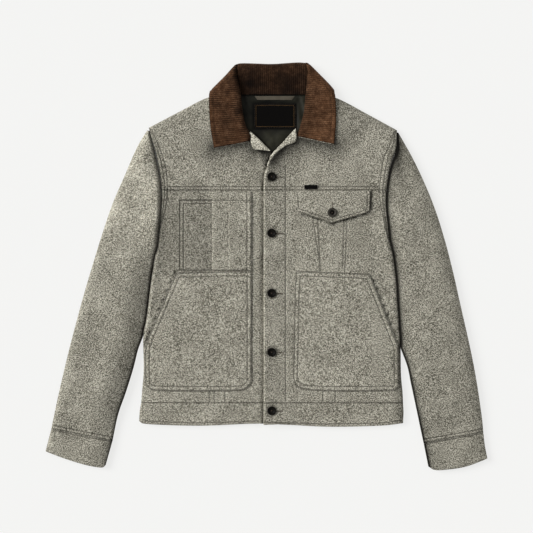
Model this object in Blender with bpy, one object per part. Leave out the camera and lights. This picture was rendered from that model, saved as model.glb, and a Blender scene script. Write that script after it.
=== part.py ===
# Insulated wool jacket with a corduroy collar, laid flat on its back.
# X runs to the wearer's left sleeve, Y runs up to the collar and Z is up from the surface it lies on.
# Every length in this file is in millimetres, and each mesh is turned into metres when it is finished.
# Right and left are the wearer's, so the right side has the smaller X.

import math

import bmesh
import bpy
from mathutils import Vector

MM = 0.001

# Clearances
CLOTH_GAP = 0.3          # between two layers that are sewn together
SEAM_INSET = 0.2         # each panel stops this far short of its seam line
SLEEVE_INSET = 0.3
CUFF_INSET = 0.4

# Heights
BODY_LOFT = 6.0          # wool, batting and lining of one body wall
SLEEVE_LOFT = 6.6        # the sleeve wall is quilted a little thicker
SLEEVE_CROWN = 2.6       # and swells this much more along its middle
CUFF_LOFT = 6.8
LINING = 2.0
NECK_BACK_LOFT = 3.7     # the back under the separate piece of lining
FRONT_FLOOR = 6.6        # underside of the fronts, just above the back
SLEEVE_FLOOR = 6.3       # underside of the upper sleeves and cuffs
UNDER_TOP = 6.0          # top of the under sleeves and cuffs
LAP_FLOOR = 10.2         # underside of the left front where it laps over the right one
LAP_UNDER_TOP = 9.6      # the right front, pressed down under the lap
LAP_TOP = 15.0
PATCH = 2.0              # one layer of wool on a panel
PATCH_LIFT = 0.6
UNDERSIDE_LIFT = 4.2     # how far a rounded edge's underside rises

# Seams and edges
YOKE_SEAM_Y = 149
WAIST_SEAM_Y = -266
NECK_SEAM_Y = 335
HEM_MIDDLE_Y = -309
RIGHT_EDGE_X = 35        # the right front ends here, under the left one
LEFT_EDGE_X = -7         # the left front's visible edge
FACING_X = 36            # the lap's inner line of stitching
RIGHT_CORNER = (14, 220)
LEFT_CORNER = (12, 218)

# Outline of the body, from the shoulder tip down to the hem (x, y)
RIGHT_ARMHOLE_YOKE = [(-231, 271), (-219, 225), (-210, 180), (-207, YOKE_SEAM_Y)]
RIGHT_ARMHOLE_PANEL = [(-207, YOKE_SEAM_Y), (-207, 118), (-211, 76), (-214, 38)]
RIGHT_SIDE = [(-214, 38), (-219, 20), (-226, -24), (-231, -65), (-236, -104), (-242, -137),
              (-241, -200), (-244, -240), (-246, WAIST_SEAM_Y)]
RIGHT_BAND_END = [(-246, WAIST_SEAM_Y), (-249, -282), (-250, -302)]
LEFT_ARMHOLE_YOKE = [(254, 266), (253, 232), (244, 205), (238, 178), (234, YOKE_SEAM_Y)]
LEFT_ARMHOLE_PANEL = [(234, YOKE_SEAM_Y), (233, 118), (236, 84), (240, 51)]
LEFT_SIDE = [(240, 51), (247, 19), (252, -19), (255, -65), (258, -110), (261, -160),
             (262, -212), (265, -245), (266, WAIST_SEAM_Y)]
LEFT_BAND_END = [(266, WAIST_SEAM_Y), (267, -284), (266, -306)]
HEM = [(-250, -302), (-232, -308), (-128, -311), (-9, -307), (116, -313), (220, -311), (266, -306)]

# Shoulder and neck edge of each front, from the shoulder tip to the front corner (x, y)
RIGHT_TOP = [(-231, 271), (-113, 331), (-66, 334), (-76, 298), (-66, 268), (-50, 249), (-34, 246),
             (-30, 254), RIGHT_CORNER]
LEFT_TOP = [(254, 266), (201, 295), (131, 331), (85, 334), (98, 301), (90, 273), (75, 255), (59, 253),
            (54, 260), LEFT_CORNER]
BACK_NECK = [(-60, NECK_SEAM_Y), (78, NECK_SEAM_Y)]

# How many columns each stretch of those edges has, and the left yoke's columns along its seam
RIGHT_TOP_COLUMNS = (5, 2, 2, 1, 1, 1, 1, 3)
LEFT_TOP_COLUMNS = (3, 3, 2, 2, 1, 1, 1, 1, 3)
LEFT_YOKE_X = (-7, 18, 43, 54, 62, 74, 86, 95, 104, 113, 124, 136, 150, 166, 182, 200, 217, 234)

# Sleeves: the fold away from the body, from the shoulder tip down to the cuff seam (x, y),
# then the fold beside the body, from where it leaves the side seam to the cuff seam
RIGHT_SLEEVE_OUTER = [(-231, 271), (-254, 233), (-278, 178), (-301, 125), (-323, 61), (-343, -4),
                      (-361, -65), (-387, -163), (-408, -252), (-422, -318)]
LEFT_SLEEVE_OUTER = [(254, 266), (283, 215), (308, 163), (330, 108), (350, 43), (365, -16), (376, -65),
                     (398, -163), (410, -226), (420, -294), (423, -325)]
RIGHT_SLEEVE_INNER = [(-252, -163), (-261, -199), (-276, -247), (-291, -290), (-302, -342)]
LEFT_SLEEVE_INNER = [(274, -195), (281, -228), (291, -275), (300, -318), (306, -346)]
SLEEVE_LEAVES_Y = -142   # each sleeve follows the body's edge down to here
RIGHT_CUFF_OUTER = [(-422, -318), (-433, -361)]
RIGHT_CUFF_INNER = [(-302, -342), (-315, -388)]
RIGHT_CUFF_END = [(-433, -361), (-393, -376), (-353, -388), (-323, -393), (-315, -388)]
LEFT_CUFF_OUTER = [(423, -325), (426, -350), (431, -375)]
LEFT_CUFF_INNER = [(306, -346), (315, -391)]
LEFT_CUFF_END = [(431, -375), (395, -389), (367, -395), (330, -398), (315, -391)]

# Soft folds pressed into the upper sleeves: start x, y, end x, y, half width, depth
SLEEVE_FOLDS = [
    (-216, 120, -262, 150, 16, 1.6),
    (-226, 20, -296, 74, 20, 1.8),
    (-236, -60, -318, -20, 18, 1.4),
    (-350, -110, -262, -170, 20, 1.5),
    (-396, -236, -300, -262, 14, 1.3),
    (240, 110, 292, 150, 16, 1.6),
    (250, 20, 322, 66, 20, 1.8),
    (262, -96, 350, -58, 18, 1.4),
    (380, -150, 290, -200, 20, 1.5),
    (404, -262, 312, -286, 14, 1.3),
]

# Collar band seen from above, from the front corner to the middle of the back, on the wearer's right:
# x and y of its inner line, which is the roll beside the front opening and then the neck seam, and
# x and y of its outline
COLLAR = [
    (-33.5, 245, -104, 231),
    (-34, 260, -108, 253),
    (-41, 278, -111, 276),
    (-47, 298, -112.5, 298),
    (-50, 316, -113, 318),
    (-51, 330, -113, 335),
    (-49, 337.5, -108, 346),
    (-46, 337.5, -96, 359),
    (-41, 337.5, -82, 374),
    (-35, 337.5, -67, 390),
    (-26, 337.5, -49, 396),
    (-12, 337.5, -22, 396.5),
    (9, 337.5, 9, 396),
]
LEAF_ROWS = 6            # from this row on, the outline is a fold and not the cloth's edge
COLLAR_ROLL = [(-50, 316), (-51, 332), (-54, 344), (-57, 358), (-60, 374), (-58, 386)]
COLLAR_MIDDLE_X = 9.5
COLLAR_SHEAR = 0.075     # the left side of the collar lies this share of its drop higher
COLLAR_LEAN = 0.035      # and the line between the two sides leans this share of the drop
COLLAR_PILE = 2.0
COLLAR_FRONT_TOP = 17.4
COLLAR_BACK_TOP = 10.2
COLLAR_RIM_TOP = 4.6     # top of the fold behind the neck, at its outline
COLLAR_RIM_WIDTH = 2.0
COLLAR_ROLL_RISE = 3.0
COLLAR_ROLL_WIDTH = 9.0
COLLAR_UNDER_FLOOR = 12.95

# Neck: each patch's corners as low x, low y, high x, high y
LINING_LOW_X = (-50, 80)
LINING_HIGH_X = (-64, 84)
LINING_Y = (208, 334)
NECK_LABEL = (-25, 270, 56, 318)
HANGER_LOOP = (-22, 325, 52, 333)
LABEL_THICK = 0.9
TAPE_THICK = 1.2

# Turned corners of the facings: lower edge, upper edge (x, y)
RIGHT_FACING = ([(-29, 240), (-24, 232), (-14, 228), (6, 223)],
                [(-29, 254), (-20, 247), (-8, 237), (7, 225)])
LEFT_FACING = ([(18, 223.5), (28, 229), (38, 236), (50, 240)],
               [(18, 225), (30, 238), (40, 246), (48, 249)])

# Hand pockets: lower edge, outer side, slanted opening and top, inner side (x, y)
RIGHT_POCKET = ([(-238, -229), (-230, -238), (-205, -243), (-81, -243), (-43, -240), (-29, -225)],
                [(-238, -229), (-239, -170), (-233, -141)],
                [(-233, -141), (-177, -11), (-29, -8)],
                [(-29, -225), (-29, -8)])
LEFT_POCKET = ([(258, -235), (250, -241), (235, -243), (111, -243), (61, -236), (50, -216)],
               [(258, -235), (257, -163), (250, -138)],
               [(250, -138), (201, -14), (56, -8)],
               [(50, -216), (53, -65), (56, -8)])
POCKET_LOW_COLUMNS = (1, 2, 6, 2, 2)
POCKET_HIGH_COLUMNS = (7, 6)

# Chest patch: its pleats step up to the right at these distances from its outer edge
CHEST_PATCH_X = (-172, -29)
CHEST_PATCH_Y = (-4, 146)
CHEST_OPENING_Y = 128    # top edge of the open stretch beside the first pleat
PLEAT_AT = (65, 97)
PLEAT_STEP = 1.1
PLEAT_SLOPE = 0.6

# Chest flap: point and corners (x, y)
FLAP_LOW = [(59, 108), (127, 85), (195, 105)]
FLAP_HIGH = [(53, 147), (202, 147)]
FLAP_LEFT = [(59, 108), (53, 147)]
FLAP_RIGHT = [(195, 105), (201, 113), (202, 147)]
FLAP_THICK = 2.6
FLAP_TIP_LIFT = 1.8
TAB_LABEL = (73, 151, 98, 159)
TAB_LIFT = 0.4

# Buttons; the profile is distance from the middle and height, as shares of the radius and the height
BUTTON_X = 9
BUTTON_YS = (175, 65, -52, -167, -281)
BUTTON_RADIUS = 8.5
BUTTON_HEIGHT = 3.4
FLAP_BUTTON = (127, 105)
FLAP_BUTTON_RADIUS = 9.3
BUTTON_SIDES = 20
BUTTON_PROFILE = [(0.86, 0.0), (1.0, 0.22), (1.0, 0.72), (0.9, 1.0), (0.76, 1.0), (0.62, 0.68)]

# Rows of the meshes: ordinary spacing, and the distances of closer rows beside a rounded edge
BODY_CELL = 24
SIDE_RIM = (1.5, 5, 10, 16)
HEM_RIM = (1.5, 5)
LAP_RIM = (6, 42, 54)
EDGE_RIM = (3, 43, 50, 57, 66)
FOLD_RIM = (1.5, 5, 10, 17)
VALLEY_RIM = (2, 7, 15, 26)

COLOURS = {
    # name: linear colour, roughness
    "wool": ((0.262, 0.246, 0.205), 0.95),
    "collar_cord": ((0.060, 0.029, 0.014), 0.85),
    "lining": ((0.030, 0.029, 0.019), 0.60),
    "label": ((0.006, 0.005, 0.005), 0.70),
    "tape": ((0.077, 0.066, 0.050), 0.85),
    "horn": ((0.010, 0.009, 0.008), 0.35),
}


# Small sums

def rounded(distance, radius):
    """Height share of a quarter round that starts at an edge."""
    share = min(1.0, distance / radius)
    return math.sqrt(max(0.0, 1.0 - (1.0 - share) ** 2))


def smooth_step(value, low, high):
    share = max(0.0, min(1.0, (value - low) / (high - low)))
    return share * share * (3.0 - 2.0 * share)


def between(low, high, share):
    return low + (high - low) * share


def distance_to(x, y, line):
    point = Vector((x, y))
    nearest = math.inf
    for a, b in zip(line, line[1:]):
        start = Vector(a)
        run = Vector(b) - start
        share = max(0.0, min(1.0, (point - start).dot(run) / run.length_squared))
        nearest = min(nearest, (point - start - run * share).length)
    return nearest


# Lines and patches in plan

def walk(points, fractions):
    """Points at the given shares of a line's length."""
    line = [Vector(p) for p in points]
    lengths = [(b - a).length for a, b in zip(line, line[1:])]
    found = []
    for share in fractions:
        left = share * sum(lengths)
        index = 0
        while index < len(lengths) - 1 and left > lengths[index]:
            left -= lengths[index]
            index += 1
        found.append(line[index].lerp(line[index + 1], left / lengths[index]))
    return found


def walk_evenly(points, count):
    return walk(points, [k / count for k in range(count + 1)])


def walk_corners(points, counts):
    """Points along a line that keep its corners, with so many stretches between each two."""
    found = [Vector(points[0])]
    for a, b, count in zip(points, points[1:], counts):
        found += [Vector(a).lerp(Vector(b), (k + 1) / count) for k in range(count)]
    return found


def shares(length, cell, near_start=(), near_end=()):
    """Shares of a length for its rows, closer together near a rounded edge."""
    start = near_start[-1] if near_start else 0.0
    end = near_end[-1] if near_end else 0.0
    count = max(1, round((length - start - end) / cell))
    marks = [0.0, *near_start[:-1]] if near_start else []
    marks += [start + (length - start - end) * k / count for k in range(count + 1)]
    if near_end:
        marks += [length - d for d in reversed(near_end[:-1])] + [length]
    return [mark / length for mark in marks]


def shares_along(line):
    """Where each point of a line lies, as a share of its length."""
    lengths = [(b - a).length for a, b in zip(line, line[1:])]
    return [sum(lengths[:k]) / sum(lengths) for k in range(len(line))]


def patch(bottom, top, left, right):
    """Rows of plan points that fill four sides."""
    rows = []
    for j, v in enumerate(shares_along(left)):
        row = []
        for i, u in enumerate(shares_along(bottom)):
            across = left[j].lerp(right[j], u)
            upward = bottom[i].lerp(top[i], v)
            corner = bottom[0].lerp(bottom[-1], u).lerp(top[0].lerp(top[-1], u), v)
            row.append(across + upward - corner)
        rows.append(row)
    return rows


def inset(rows, gap=SEAM_INSET):
    """Draws a patch's outline in by the gap, so that neighbours stay clear of each other."""
    last_v, last_u = len(rows) - 1, len(rows[0]) - 1
    loop = [(0, i) for i in range(last_u)] + [(j, last_u) for j in range(last_v)]
    loop += [(last_v, i) for i in range(last_u, 0, -1)] + [(j, 0) for j in range(last_v, 0, -1)]
    line = [rows[j][i].copy() for j, i in loop]
    for k, (j, i) in enumerate(loop):
        before = (line[k] - line[k - 1]).normalized()
        after = (line[(k + 1) % len(line)] - line[k]).normalized()
        normals = [Vector((-way.y, way.x)) for way in (before, after)]
        reach = gap / max(0.5, 1.0 + normals[0].dot(normals[1]))
        rows[j][i] = line[k] + (normals[0] + normals[1]) * reach
    return rows


def rectangle(low_x, low_y, high_x, high_y):
    return [[Vector((x, y)) for x in (low_x, (low_x + high_x) / 2, high_x)] for y in (low_y, high_y)]


# Solids

def material_for(name):
    made = bpy.data.materials.get(name)
    if made is None:
        colour, roughness = COLOURS[name]
        made = bpy.data.materials.new(name)
        made.use_nodes = True
        shader = made.node_tree.nodes["Principled BSDF"]
        shader.inputs["Base Color"].default_value = (*colour, 1.0)
        shader.inputs["Roughness"].default_value = roughness
        shader.inputs["Metallic"].default_value = 0.0
    return made


def add_piece(name, bm, material):
    """Faces the mesh outwards, turns it into metres and adds it to the scene."""
    bmesh.ops.recalc_face_normals(bm, faces=bm.faces)
    bmesh.ops.triangulate(bm, faces=bm.faces)
    if bm.calc_volume(signed=True) < 0:
        bmesh.ops.reverse_faces(bm, faces=bm.faces)
    bmesh.ops.scale(bm, verts=bm.verts, vec=(MM, MM, MM))
    mesh = bpy.data.meshes.new(name)
    bm.to_mesh(mesh)
    bm.free()
    mesh.shade_smooth()
    mesh.set_sharp_from_angle(angle=math.radians(50))
    mesh.materials.append(material_for(material))
    bpy.context.collection.objects.link(bpy.data.objects.new(name, mesh))


def slab(name, rows, underside, top, material="wool"):
    """A closed wall over the plan points, between two heights that are functions of x and y."""
    bm = bmesh.new()
    bmesh.ops.create_grid(bm, x_segments=len(rows[0]) - 1, y_segments=len(rows) - 1, size=1.0)
    bmesh.ops.triangulate(bm, faces=bm.faces, quad_method="FIXED")
    for vert, point in zip(bm.verts, [point for row in rows for point in row]):
        vert.co = (point.x, point.y, underside(point.x, point.y))
    grown = bmesh.ops.extrude_face_region(bm, geom=bm.faces[:])
    for vert in [g for g in grown["geom"] if isinstance(g, bmesh.types.BMVert)]:
        vert.co.z = top(vert.co.x, vert.co.y)
    add_piece(name, bm, material)


def level(height):
    return lambda x, y: height


def lifted(surface, lift):
    return lambda x, y: surface(x, y) + lift


# Heights of the body walls

BODY_EDGES = [
    # line, radius of its round, share of the wall left at the line
    (RIGHT_SIDE + RIGHT_BAND_END[1:], 14.0, 0.25),
    (LEFT_SIDE + LEFT_BAND_END[1:], 14.0, 0.25),
    (RIGHT_ARMHOLE_YOKE + RIGHT_ARMHOLE_PANEL[1:], 5.0, 0.75),
    (LEFT_ARMHOLE_YOKE + LEFT_ARMHOLE_PANEL[1:], 5.0, 0.75),
    (RIGHT_TOP[:3], 12.0, 0.25),
    (LEFT_TOP[:4], 12.0, 0.25),
    (HEM, 5.0, 0.5),
]


def wall_share(x, y):
    """Share of a wall's height here, which falls towards the body's rounded edges."""
    return min(between(left, 1.0, rounded(distance_to(x, y, line), radius))
               for line, radius, left in BODY_EDGES)


def back_underside(x, y):
    return UNDERSIDE_LIFT * (1.0 - wall_share(x, y))


def back_top(x, y):
    return between(BODY_LOFT, NECK_BACK_LOFT, smooth_step(y, YOKE_SEAM_Y, LINING_Y[0] - 3))


def right_front_top(x, y):
    """The right front sinks where the left one laps over it."""
    full = FRONT_FLOOR + BODY_LOFT * wall_share(x, y)
    under = smooth_step(x, LEFT_EDGE_X - 20, LEFT_EDGE_X - 8)
    return between(full, min(full, LAP_UNDER_TOP), under)


def left_front_underside(x, y):
    return between(LAP_FLOOR, FRONT_FLOOR, smooth_step(x, RIGHT_EDGE_X + 9, RIGHT_EDGE_X + 25))


def left_front_top(x, y):
    full = FRONT_FLOOR + BODY_LOFT * wall_share(x, y)
    edge = between(0.8, 1.0, rounded(x - LEFT_EDGE_X, 3.0)) * between(0.3, 1.0, wall_share(x, y))
    lap = between(LAP_FLOOR, LAP_TOP, edge)
    return between(lap, full, smooth_step(x, FACING_X, FACING_X + 22))


# Body

YOKE_UP = shares(110, BODY_CELL, near_end=(2, 6, 12))
PANEL_UP = shares(415, 34)
BAND_UP = shares(40, 14, near_start=HEM_RIM)


def body_edge(armhole_yoke, armhole_panel, side):
    """The edge of one side from the waist up: along the panel, and along the yoke."""
    return walk(side[::-1] + armhole_panel[::-1][1:], PANEL_UP), walk(armhole_yoke[::-1], YOKE_UP)


RIGHT_PANEL_EDGE, RIGHT_YOKE_EDGE = body_edge(RIGHT_ARMHOLE_YOKE, RIGHT_ARMHOLE_PANEL, RIGHT_SIDE)
LEFT_PANEL_EDGE, LEFT_YOKE_EDGE = body_edge(LEFT_ARMHOLE_YOKE, LEFT_ARMHOLE_PANEL, LEFT_SIDE)


def build_back():
    waist = [RIGHT_SIDE[-1], LEFT_SIDE[-1]]
    across = shares(507, BODY_CELL, near_start=SIDE_RIM, near_end=SIDE_RIM)
    rows = patch(walk(waist, across), walk(RIGHT_TOP[:2] + BACK_NECK + LEFT_TOP[:3][::-1], across),
                 RIGHT_PANEL_EDGE + RIGHT_YOKE_EDGE[1:], LEFT_PANEL_EDGE + LEFT_YOKE_EDGE[1:])
    slab("back", inset(rows), back_underside, back_top)
    rows = patch(walk(HEM, across), walk(waist, across),
                 walk(RIGHT_BAND_END[::-1], BAND_UP), walk(LEFT_BAND_END[::-1], BAND_UP))
    slab("waistband_back", inset(rows), back_underside, back_top)


def build_right_front():
    floor = level(FRONT_FLOOR)
    waist = [RIGHT_SIDE[-1], (RIGHT_EDGE_X, WAIST_SEAM_Y)]
    yoke = [(RIGHT_ARMHOLE_PANEL[0]), (RIGHT_EDGE_X, YOKE_SEAM_Y)]
    across = shares(281, BODY_CELL, near_start=SIDE_RIM, near_end=LAP_RIM)
    rows = patch(walk(waist, across), walk(yoke, across), RIGHT_PANEL_EDGE,
                 walk([waist[-1], yoke[-1]], PANEL_UP))
    slab("front_panel_right", inset(rows), floor, right_front_top)

    rows = patch(walk_evenly(yoke, sum(RIGHT_TOP_COLUMNS)), walk_corners(RIGHT_TOP, RIGHT_TOP_COLUMNS),
                 RIGHT_YOKE_EDGE, walk([yoke[-1], RIGHT_CORNER], YOKE_UP))
    slab("front_yoke_right", inset(rows), floor, right_front_top)

    hem = [point for point in HEM if point[0] < 0] + [(RIGHT_EDGE_X, HEM_MIDDLE_Y)]
    rows = patch(walk(hem, across), walk(waist, across), walk(RIGHT_BAND_END[::-1], BAND_UP),
                 walk([hem[-1], waist[-1]], BAND_UP))
    slab("waistband_right", inset(rows), floor, right_front_top)


def build_left_front():
    waist = [(LEFT_EDGE_X, WAIST_SEAM_Y), LEFT_SIDE[-1]]
    yoke = [(LEFT_EDGE_X, YOKE_SEAM_Y), LEFT_ARMHOLE_PANEL[0]]
    across = shares(273, BODY_CELL, near_start=EDGE_RIM, near_end=SIDE_RIM)
    rows = patch(walk(waist, across), walk(yoke, across), walk([waist[0], yoke[0]], PANEL_UP),
                 LEFT_PANEL_EDGE)
    slab("front_panel_left", inset(rows), left_front_underside, left_front_top)

    low = [Vector((x, YOKE_SEAM_Y)) for x in LEFT_YOKE_X]
    rows = patch(low, walk_corners(LEFT_TOP, LEFT_TOP_COLUMNS)[::-1],
                 walk([yoke[0], (-4, 185), LEFT_CORNER], YOKE_UP), LEFT_YOKE_EDGE)
    slab("front_yoke_left", inset(rows), left_front_underside, left_front_top)

    hem = [(LEFT_EDGE_X, HEM_MIDDLE_Y)] + [point for point in HEM if point[0] > 0]
    rows = patch(walk(hem, across), walk(waist, across), walk([hem[0], waist[0]], BAND_UP),
                 walk(LEFT_BAND_END[::-1], BAND_UP))
    slab("waistband_left", inset(rows), left_front_underside, left_front_top)


# Sleeves and cuffs

SLEEVE_ACROSS = shares(100, 19, near_start=FOLD_RIM, near_end=VALLEY_RIM)
CUFF_UP = shares(48, 14, near_start=HEM_RIM)


def fold_depth(x, y):
    """How far the soft folds press the upper sleeve down here."""
    return max(depth * (1.0 - smooth_step(distance_to(x, y, [(x1, y1), (x2, y2)]), 0.0, half_width))
               for x1, y1, x2, y2, half_width, depth in SLEEVE_FOLDS)


def build_sleeve(side, armhole, outer_line, inner_line, cuff_outer, cuff_inner, cuff_end):
    """One sleeve and cuff, each an upper and an under wall that meet at the two folds."""
    beside = [point for point in armhole if point.y > SLEEVE_LEAVES_Y][2:]
    inner = beside + walk_evenly([beside[-1], *inner_line], 7)[1:]
    outer = walk(outer_line, [between(0.012, 1.0, share) for share in shares_along(inner)])
    outer_fold = outer + [Vector(point) for point in cuff_outer[1:]]
    inner_fold = inner + [Vector(point) for point in cuff_inner[1:]]
    seam = walk([outer[-1], inner[-1]], SLEEVE_ACROSS)

    def sleeve_top(x, y):
        to_outer, to_inner = distance_to(x, y, outer_fold), distance_to(x, y, inner_fold)
        fold = between(0.2, 1.0, rounded(to_outer, 18))
        valley = 0.2 + 0.5 * rounded(to_inner, 14) + 0.3 * smooth_step(to_inner, 4, 48)
        crown = SLEEVE_CROWN * smooth_step(min(to_inner, to_outer), 6, 60)
        return SLEEVE_FLOOR + (SLEEVE_LOFT + crown) * min(fold, valley) - fold_depth(x, y) * fold

    def cuff_top(x, y):
        to_fold = min(distance_to(x, y, outer_fold), distance_to(x, y, inner_fold))
        end = between(0.5, 1.0, rounded(distance_to(x, y, cuff_end), 5))
        return SLEEVE_FLOOR + CUFF_LOFT * min(between(0.25, 1.0, rounded(to_fold, 15)), end)

    def underside(x, y):
        to_fold = min(distance_to(x, y, outer_fold), distance_to(x, y, inner_fold))
        return UNDERSIDE_LIFT * (1.0 - rounded(to_fold, 14))

    shoulder = walk([outer[0], inner[0]], SLEEVE_ACROSS)
    rows = patch(seam, shoulder, outer[::-1], inner[::-1])
    cuff_rows = patch(walk(cuff_end, SLEEVE_ACROSS), seam, walk(cuff_outer[::-1], CUFF_UP),
                      walk(cuff_inner[::-1], CUFF_UP))
    if side == "left":
        rows, cuff_rows = [row[::-1] for row in rows], [row[::-1] for row in cuff_rows]
    for name, plan, top in (("sleeve", inset(rows, SLEEVE_INSET), sleeve_top),
                            ("cuff", inset(cuff_rows, CUFF_INSET), cuff_top)):
        slab(f"{name}_{side}_upper", plan, level(SLEEVE_FLOOR), top)
        slab(f"{name}_{side}_under", plan, underside, level(UNDER_TOP))


# Collar

def mirrored(point):
    """The same point on the wearer's left, where the collar lies a little higher."""
    drop = max(0.0, NECK_SEAM_Y - point[1])
    middle = COLLAR_MIDDLE_X + COLLAR_LEAN * drop
    return Vector((2 * middle - point[0], point[1] + COLLAR_SHEAR * drop))


RIGHT_BAND = [(Vector(row[:2]), Vector(row[2:])) for row in COLLAR]
BAND = RIGHT_BAND + [(mirrored(inner), mirrored(outer)) for inner, outer in RIGHT_BAND[-2::-1]]
LEAVES = [BAND[:LEAF_ROWS + 1], BAND[-LEAF_ROWS - 1:]]
FOLDED_RIM = [outer for inner, outer in BAND[LEAF_ROWS:-LEAF_ROWS]]
LEAF_EDGES = [[outer for inner, outer in leaf] for leaf in LEAVES]
LEAF_ROLLS = [[inner for inner, outer in leaf] for leaf in LEAVES]
RISING_ROLLS = [COLLAR_ROLL, [mirrored(point) for point in COLLAR_ROLL]]


def nearest(x, y, lines):
    return min(distance_to(x, y, line) for line in lines)


def collar_top(x, y):
    """The leaves lie on the fronts, the roll rises at the shoulders and the stand lies behind the neck."""
    height = between(COLLAR_FRONT_TOP, COLLAR_BACK_TOP, smooth_step(y, 322, 356))
    roll = math.exp(-(nearest(x, y, RISING_ROLLS) / COLLAR_ROLL_WIDTH) ** 2)
    height += COLLAR_ROLL_RISE * roll * smooth_step(y, 318, 345)
    height -= 1.0 * (1.0 - rounded(nearest(x, y, LEAF_EDGES), 3.0))
    height -= 2.2 * (1.0 - rounded(nearest(x, y, LEAF_ROLLS), 5.0))
    rim_radius = between(20.0, 7.0, smooth_step(y, 372, 396))
    return between(COLLAR_RIM_TOP, height, rounded(distance_to(x, y, FOLDED_RIM), rim_radius))


def collar_underside(x, y):
    """One layer of pile cloth, which turns down to the surface at the folded rim."""
    if distance_to(x, y, FOLDED_RIM) < COLLAR_RIM_WIDTH:
        return 0.0
    return collar_top(x, y) - COLLAR_PILE


def band_rows(band, across, start=0.0, end=1.0):
    """Plan rows along a stretch of the band, between two shares of its width."""
    return [[inner.lerp(outer, between(start, end, share)) for inner, outer in band]
            for share in across]


def build_collar():
    across = shares(66, 13, near_start=HEM_RIM, near_end=(COLLAR_RIM_WIDTH, 5, 11))
    slab("collar_upper", band_rows(BAND, across), collar_underside, collar_top, "collar_cord")
    coarse = [0.0, 0.25, 0.5, 0.75, 1.0]
    under_top = lifted(collar_top, -COLLAR_PILE - 3 * CLOTH_GAP)
    for side, band in (("right", BAND[:LEAF_ROWS - 1]), ("left", BAND[1 - LEAF_ROWS:])):
        slab(f"collar_under_{side}", band_rows(band, coarse, 0.12, 0.985),
             level(COLLAR_UNDER_FLOOR), under_top)
    behind = BAND[LEAF_ROWS + 1:-LEAF_ROWS - 1]
    stand_floor = COLLAR_BACK_TOP - COLLAR_PILE - 2 * CLOTH_GAP
    slab("collar_fall_back", band_rows(behind, coarse, 0.12, 0.86),
         level(0.0), level(COLLAR_PILE), "collar_cord")
    slab("collar_under_back", band_rows(behind, coarse, 0.02, 0.8), level(COLLAR_PILE + CLOTH_GAP),
         lambda x, y: min(collar_top(x, y) - COLLAR_PILE - 2 * CLOTH_GAP, stand_floor))


# Neck and what lies on the panels

def build_neck():
    floor = NECK_BACK_LOFT + CLOTH_GAP
    top = floor + LINING
    low, high = [[(x, y) for x in xs] for xs, y in zip((LINING_LOW_X, LINING_HIGH_X), LINING_Y)]
    rows = patch(walk_evenly(low, 6), walk_evenly(high, 6), walk_evenly([low[0], high[0]], 6),
                 walk_evenly([low[1], high[1]], 6))
    slab("back_lining", rows, level(floor), level(top), "lining")
    for name, corners, thick, material in (("neck_label", NECK_LABEL, LABEL_THICK, "label"),
                                           ("hanger_loop", HANGER_LOOP, TAPE_THICK, "tape")):
        base = top + CLOTH_GAP
        slab(name, rectangle(*corners), level(base), level(base + thick), material)


def build_facings():
    for side, (low, high), surface in (("right", RIGHT_FACING, right_front_top),
                                       ("left", LEFT_FACING, left_front_top)):
        rows = patch(walk_evenly(low, 6), walk_evenly(high, 6), walk_evenly([low[0], high[0]], 2),
                     walk_evenly([low[-1], high[-1]], 2))
        slab(f"facing_{side}", rows, lifted(surface, PATCH_LIFT), lifted(surface, PATCH_LIFT + PATCH))


def build_hand_pockets():
    for side, (low, outer, high, inner), surface in (("right", RIGHT_POCKET, right_front_top),
                                                     ("left", LEFT_POCKET, left_front_top)):
        rows = patch(walk_corners(low, POCKET_LOW_COLUMNS), walk_corners(high, POCKET_HIGH_COLUMNS),
                     walk_evenly(outer, 4), walk_evenly(inner, 4))
        slab(f"hand_pocket_{side}", rows, lifted(surface, PATCH_LIFT),
             lifted(surface, PATCH_LIFT + PATCH))


def build_chest_patch():
    """An open patch whose pleats step up towards the front edge."""
    outer_x, inner_x = CHEST_PATCH_X
    steps = [outer_x + at + side * PLEAT_SLOPE for at in PLEAT_AT for side in (-1, 1)]
    columns = sorted([outer_x, outer_x + 22, outer_x + 44, *steps, outer_x + 81, outer_x + 120, inner_x])
    low_y, high_y = CHEST_PATCH_Y
    open_until = outer_x + PLEAT_AT[0]
    rows = [[Vector((x, between(low_y, CHEST_OPENING_Y if x < open_until else high_y, k / 5)))
             for x in columns] for k in range(6)]

    def pleated(x, y):
        pleats = sum(x > outer_x + at for at in PLEAT_AT)
        return right_front_top(x, y) + PATCH_LIFT + PATCH + PLEAT_STEP * pleats

    slab("chest_patch_right", rows, lifted(right_front_top, PATCH_LIFT), pleated)


def build_flap():
    rows = patch(walk_evenly(FLAP_LOW, 8), walk_evenly(FLAP_HIGH, 8), walk_evenly(FLAP_LEFT, 3),
                 walk_evenly(FLAP_RIGHT, 3))

    def underside(x, y):
        from_seam = FLAP_HIGH[0][1] - y
        return left_front_top(x, y) + PATCH_LIFT + FLAP_TIP_LIFT * smooth_step(from_seam, 0, 60)

    slab("chest_flap_left", rows, underside, lifted(underside, FLAP_THICK))
    slab("tab_label", rectangle(*TAB_LABEL), lifted(left_front_top, TAB_LIFT),
         lifted(left_front_top, TAB_LIFT + LABEL_THICK), "label")
    seat = underside(*FLAP_BUTTON) + FLAP_THICK + CLOTH_GAP
    button("flap_button", *FLAP_BUTTON, seat, FLAP_BUTTON_RADIUS)


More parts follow.
